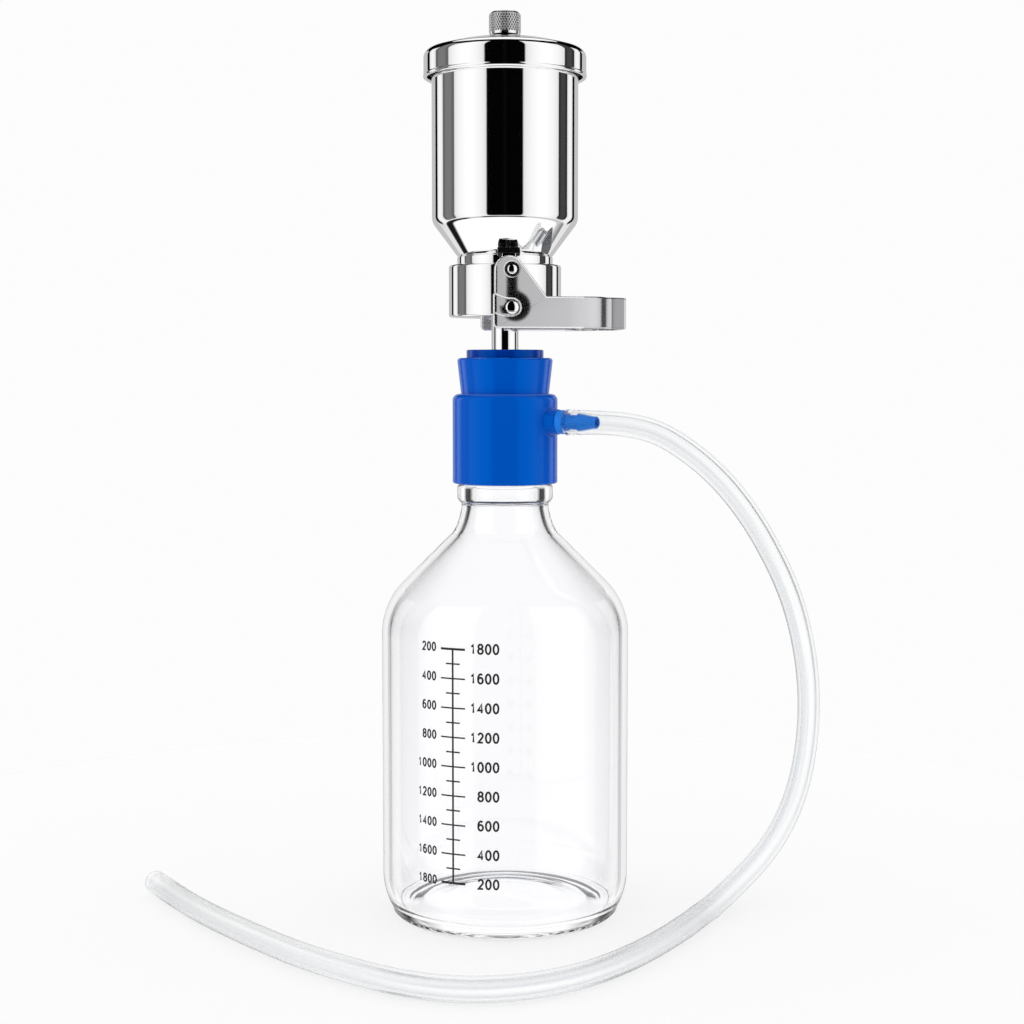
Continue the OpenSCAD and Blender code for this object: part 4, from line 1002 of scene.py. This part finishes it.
# ---- Lid ----
# Pressed and polished stainless, a low dome with a skirt over the funnel's
# rim and a fine lip rolled at the skirt's edge. It rests on a seal.
LID_R, LID_Z0, LID_TOP_R, LID_TOP_Z = 44.0, 457.2, 9.0, 478.5
SKIRT_Z1, LID_CORNER_R, CORNER_END = 468.0, 4.4, 73
LIP_R, LIP_PROUD, DOME_BEND_R, LID_BORE_R, LID_SEAT_Z = 1.15, 0.25, 21.2, 4.02, FUNNEL_Z1 + 1.25
corner = arc((LID_R - LID_CORNER_R, SKIRT_Z1), LID_CORNER_R, 0, CORNER_END, 20)


def dome(inset):
    """Half a section of the dome: a parabola from the skirt's corner to the flat round
    the vent, as a (1 - t)^2 + 2 b t (1 - t) + c t^2."""
    t = np.linspace(0.04, 1, 28)[:, None]
    a, b, c = (np.array(p) - (0, inset) for p in (
        corner[-1], (DOME_BEND_R, LID_TOP_Z - 0.4), (LID_TOP_R, LID_TOP_Z)))
    return (1 - t) ** 2 * a + 2 * t * (1 - t) * b + t ** 2 * c


lip = np.array([LID_R + LIP_PROUD - LIP_R, LID_Z0 + LIP_R])
lip_start = np.degrees(np.arccos((LID_R - SHEET - lip[0]) / LIP_R))
lip_end = 360 + np.degrees(np.arccos((LID_R - lip[0]) / LIP_R))
lid = np.concatenate([
    arc(lip, LIP_R, lip_start, lip_end - 6, 24),
    [[LID_R, z] for z in (459.15, 459.35, 463, SKIRT_Z1 - 0.4)], corner, dome(0),
    [[6.5, LID_TOP_Z], [LID_BORE_R, LID_TOP_Z], [LID_BORE_R, LID_TOP_Z - SHEET],
     [LID_TOP_R, LID_TOP_Z - SHEET]], dome(SHEET)[::-1][1:-5],
    rounded([(34.5, 472.8, 0), (38.2, LID_SEAT_Z, 0.3), (LID_R - SHEET, LID_SEAT_Z, 0.6),
             (LID_R - SHEET, lip[1], 0)])[1:-1]])
piece("lid_shell", [turned(lid, FINE)], *STEEL, ["lid"])

# ---- Vent and knob ----
# A vent tube riveted into the lid, its fine thread left plain, and a knurled
# knob that screws down on it and presses a rubber disc on its end.
KNOB_R, KNOB_Z0, KNOB_Z1, KNOB_CHAMFER = 8.6, 480.4, 492.6, 1.5
KNOB_BORE_R, KNOB_BORE_Z, KNOB_STEPS, KNOB_ROWS = 4.06, 488.9, 540, 90
STUB_R, STUB_Z0, STUB_Z1, STUB_BORE_R, FLANGE_R, FLANGE_Z = 4.0, 474.4, 487.2, 1.6, 6.3, 480.1
stub = rounded([(STUB_BORE_R, STUB_Z0, 0.2), (STUB_R, STUB_Z0, 0.3), (STUB_R, LID_TOP_Z, 0),
                (FLANGE_R, LID_TOP_Z, 0.1), (FLANGE_R, FLANGE_Z, 0.3), (STUB_R, FLANGE_Z, 0.1),
                (STUB_R, STUB_Z1, 0.4), (STUB_BORE_R, STUB_Z1, 0.2)])
piece("vent_tube", [turned(stub, 64)], *DARK_STEEL, ["vent_stub"])
rubber, tree = surface_of("moulded_black_rubber", {"Base Color": "#141414"})
grain(tree, 0.6, 0.008, (0.55, 0.7))
wear("vent_seal", rubber)

KNURL_STARTS, KNURL_RISE, KNURL_DEPTH, RIDGE, PIT_SLOPE = 36, 2.6, 0.5, 0.8, 2.5
knob_low, knob_high = KNOB_Z0 + KNOB_CHAMFER, KNOB_Z1 - KNOB_CHAMFER
knob = np.concatenate([
    rounded([(0, KNOB_BORE_Z, 0), (KNOB_BORE_R, KNOB_BORE_Z, 0.2), (KNOB_BORE_R, KNOB_Z0, 0.2),
             (KNOB_R - 0.35, KNOB_Z0, 0.15), (KNOB_R - 0.12, knob_low - 0.1, 0),
             (KNOB_R, knob_low, 0)])[:-1],
    np.c_[np.full(KNOB_ROWS, KNOB_R), np.linspace(knob_low, knob_high, KNOB_ROWS)],
    rounded([(KNOB_R, knob_high, 0), (KNOB_R - KNOB_CHAMFER, KNOB_Z1, 0.3), (0, KNOB_Z1, 0)])[1:]])
grid = turned(knob, KNOB_STEPS)
# Diamond knurl: two families of ridges run round the side and up it, one to
# each hand, and between them lie pits with flat floors and soft walls.
turns = circle(KNOB_STEPS)[None, :] * KNURL_STARTS / (2 * pi)
z = grid[..., 2]
nearest = np.max([np.abs((turns + hand * z / KNURL_RISE) % 1 - 0.5) * 2 for hand in (1, -1)], 0)
on_side = smooth_step((z - knob_low + 0.1) / 0.4) * smooth_step((knob_high + 0.1 - z) / 0.4)
on_side = on_side * (np.hypot(grid[..., 0], grid[..., 1]) > KNOB_R - 0.1)
pit = smooth_step(PIT_SLOPE * (RIDGE - nearest)) * on_side
grid[..., :2] *= (1 - KNURL_DEPTH * pit / KNOB_R)[..., None]
# Rolled stainless: bright ridges with a burnished edge, and pits painted dark
# grey, a painted shade in the knurl's hollows. Its marks hold how deep each point
# lies, and the pits' painted shade follows them.
knurled_steel, tree = surface_of("knurled_stainless", {"Metallic": 1.0})
grain(tree, 0.6, 0.001, (0.08, 0.16))
depth = add(tree, "SeparateXYZ", marks_of(tree))
feed(tree, "Base Color", add(tree, "Mix RGBA", depth, "#F4F4F4", "#505052"))
piece("knob", [grid], knurled_steel, "knob", "steel_knurled",
      ["vent_knob"], np.repeat(pit[..., None], 3, -1))
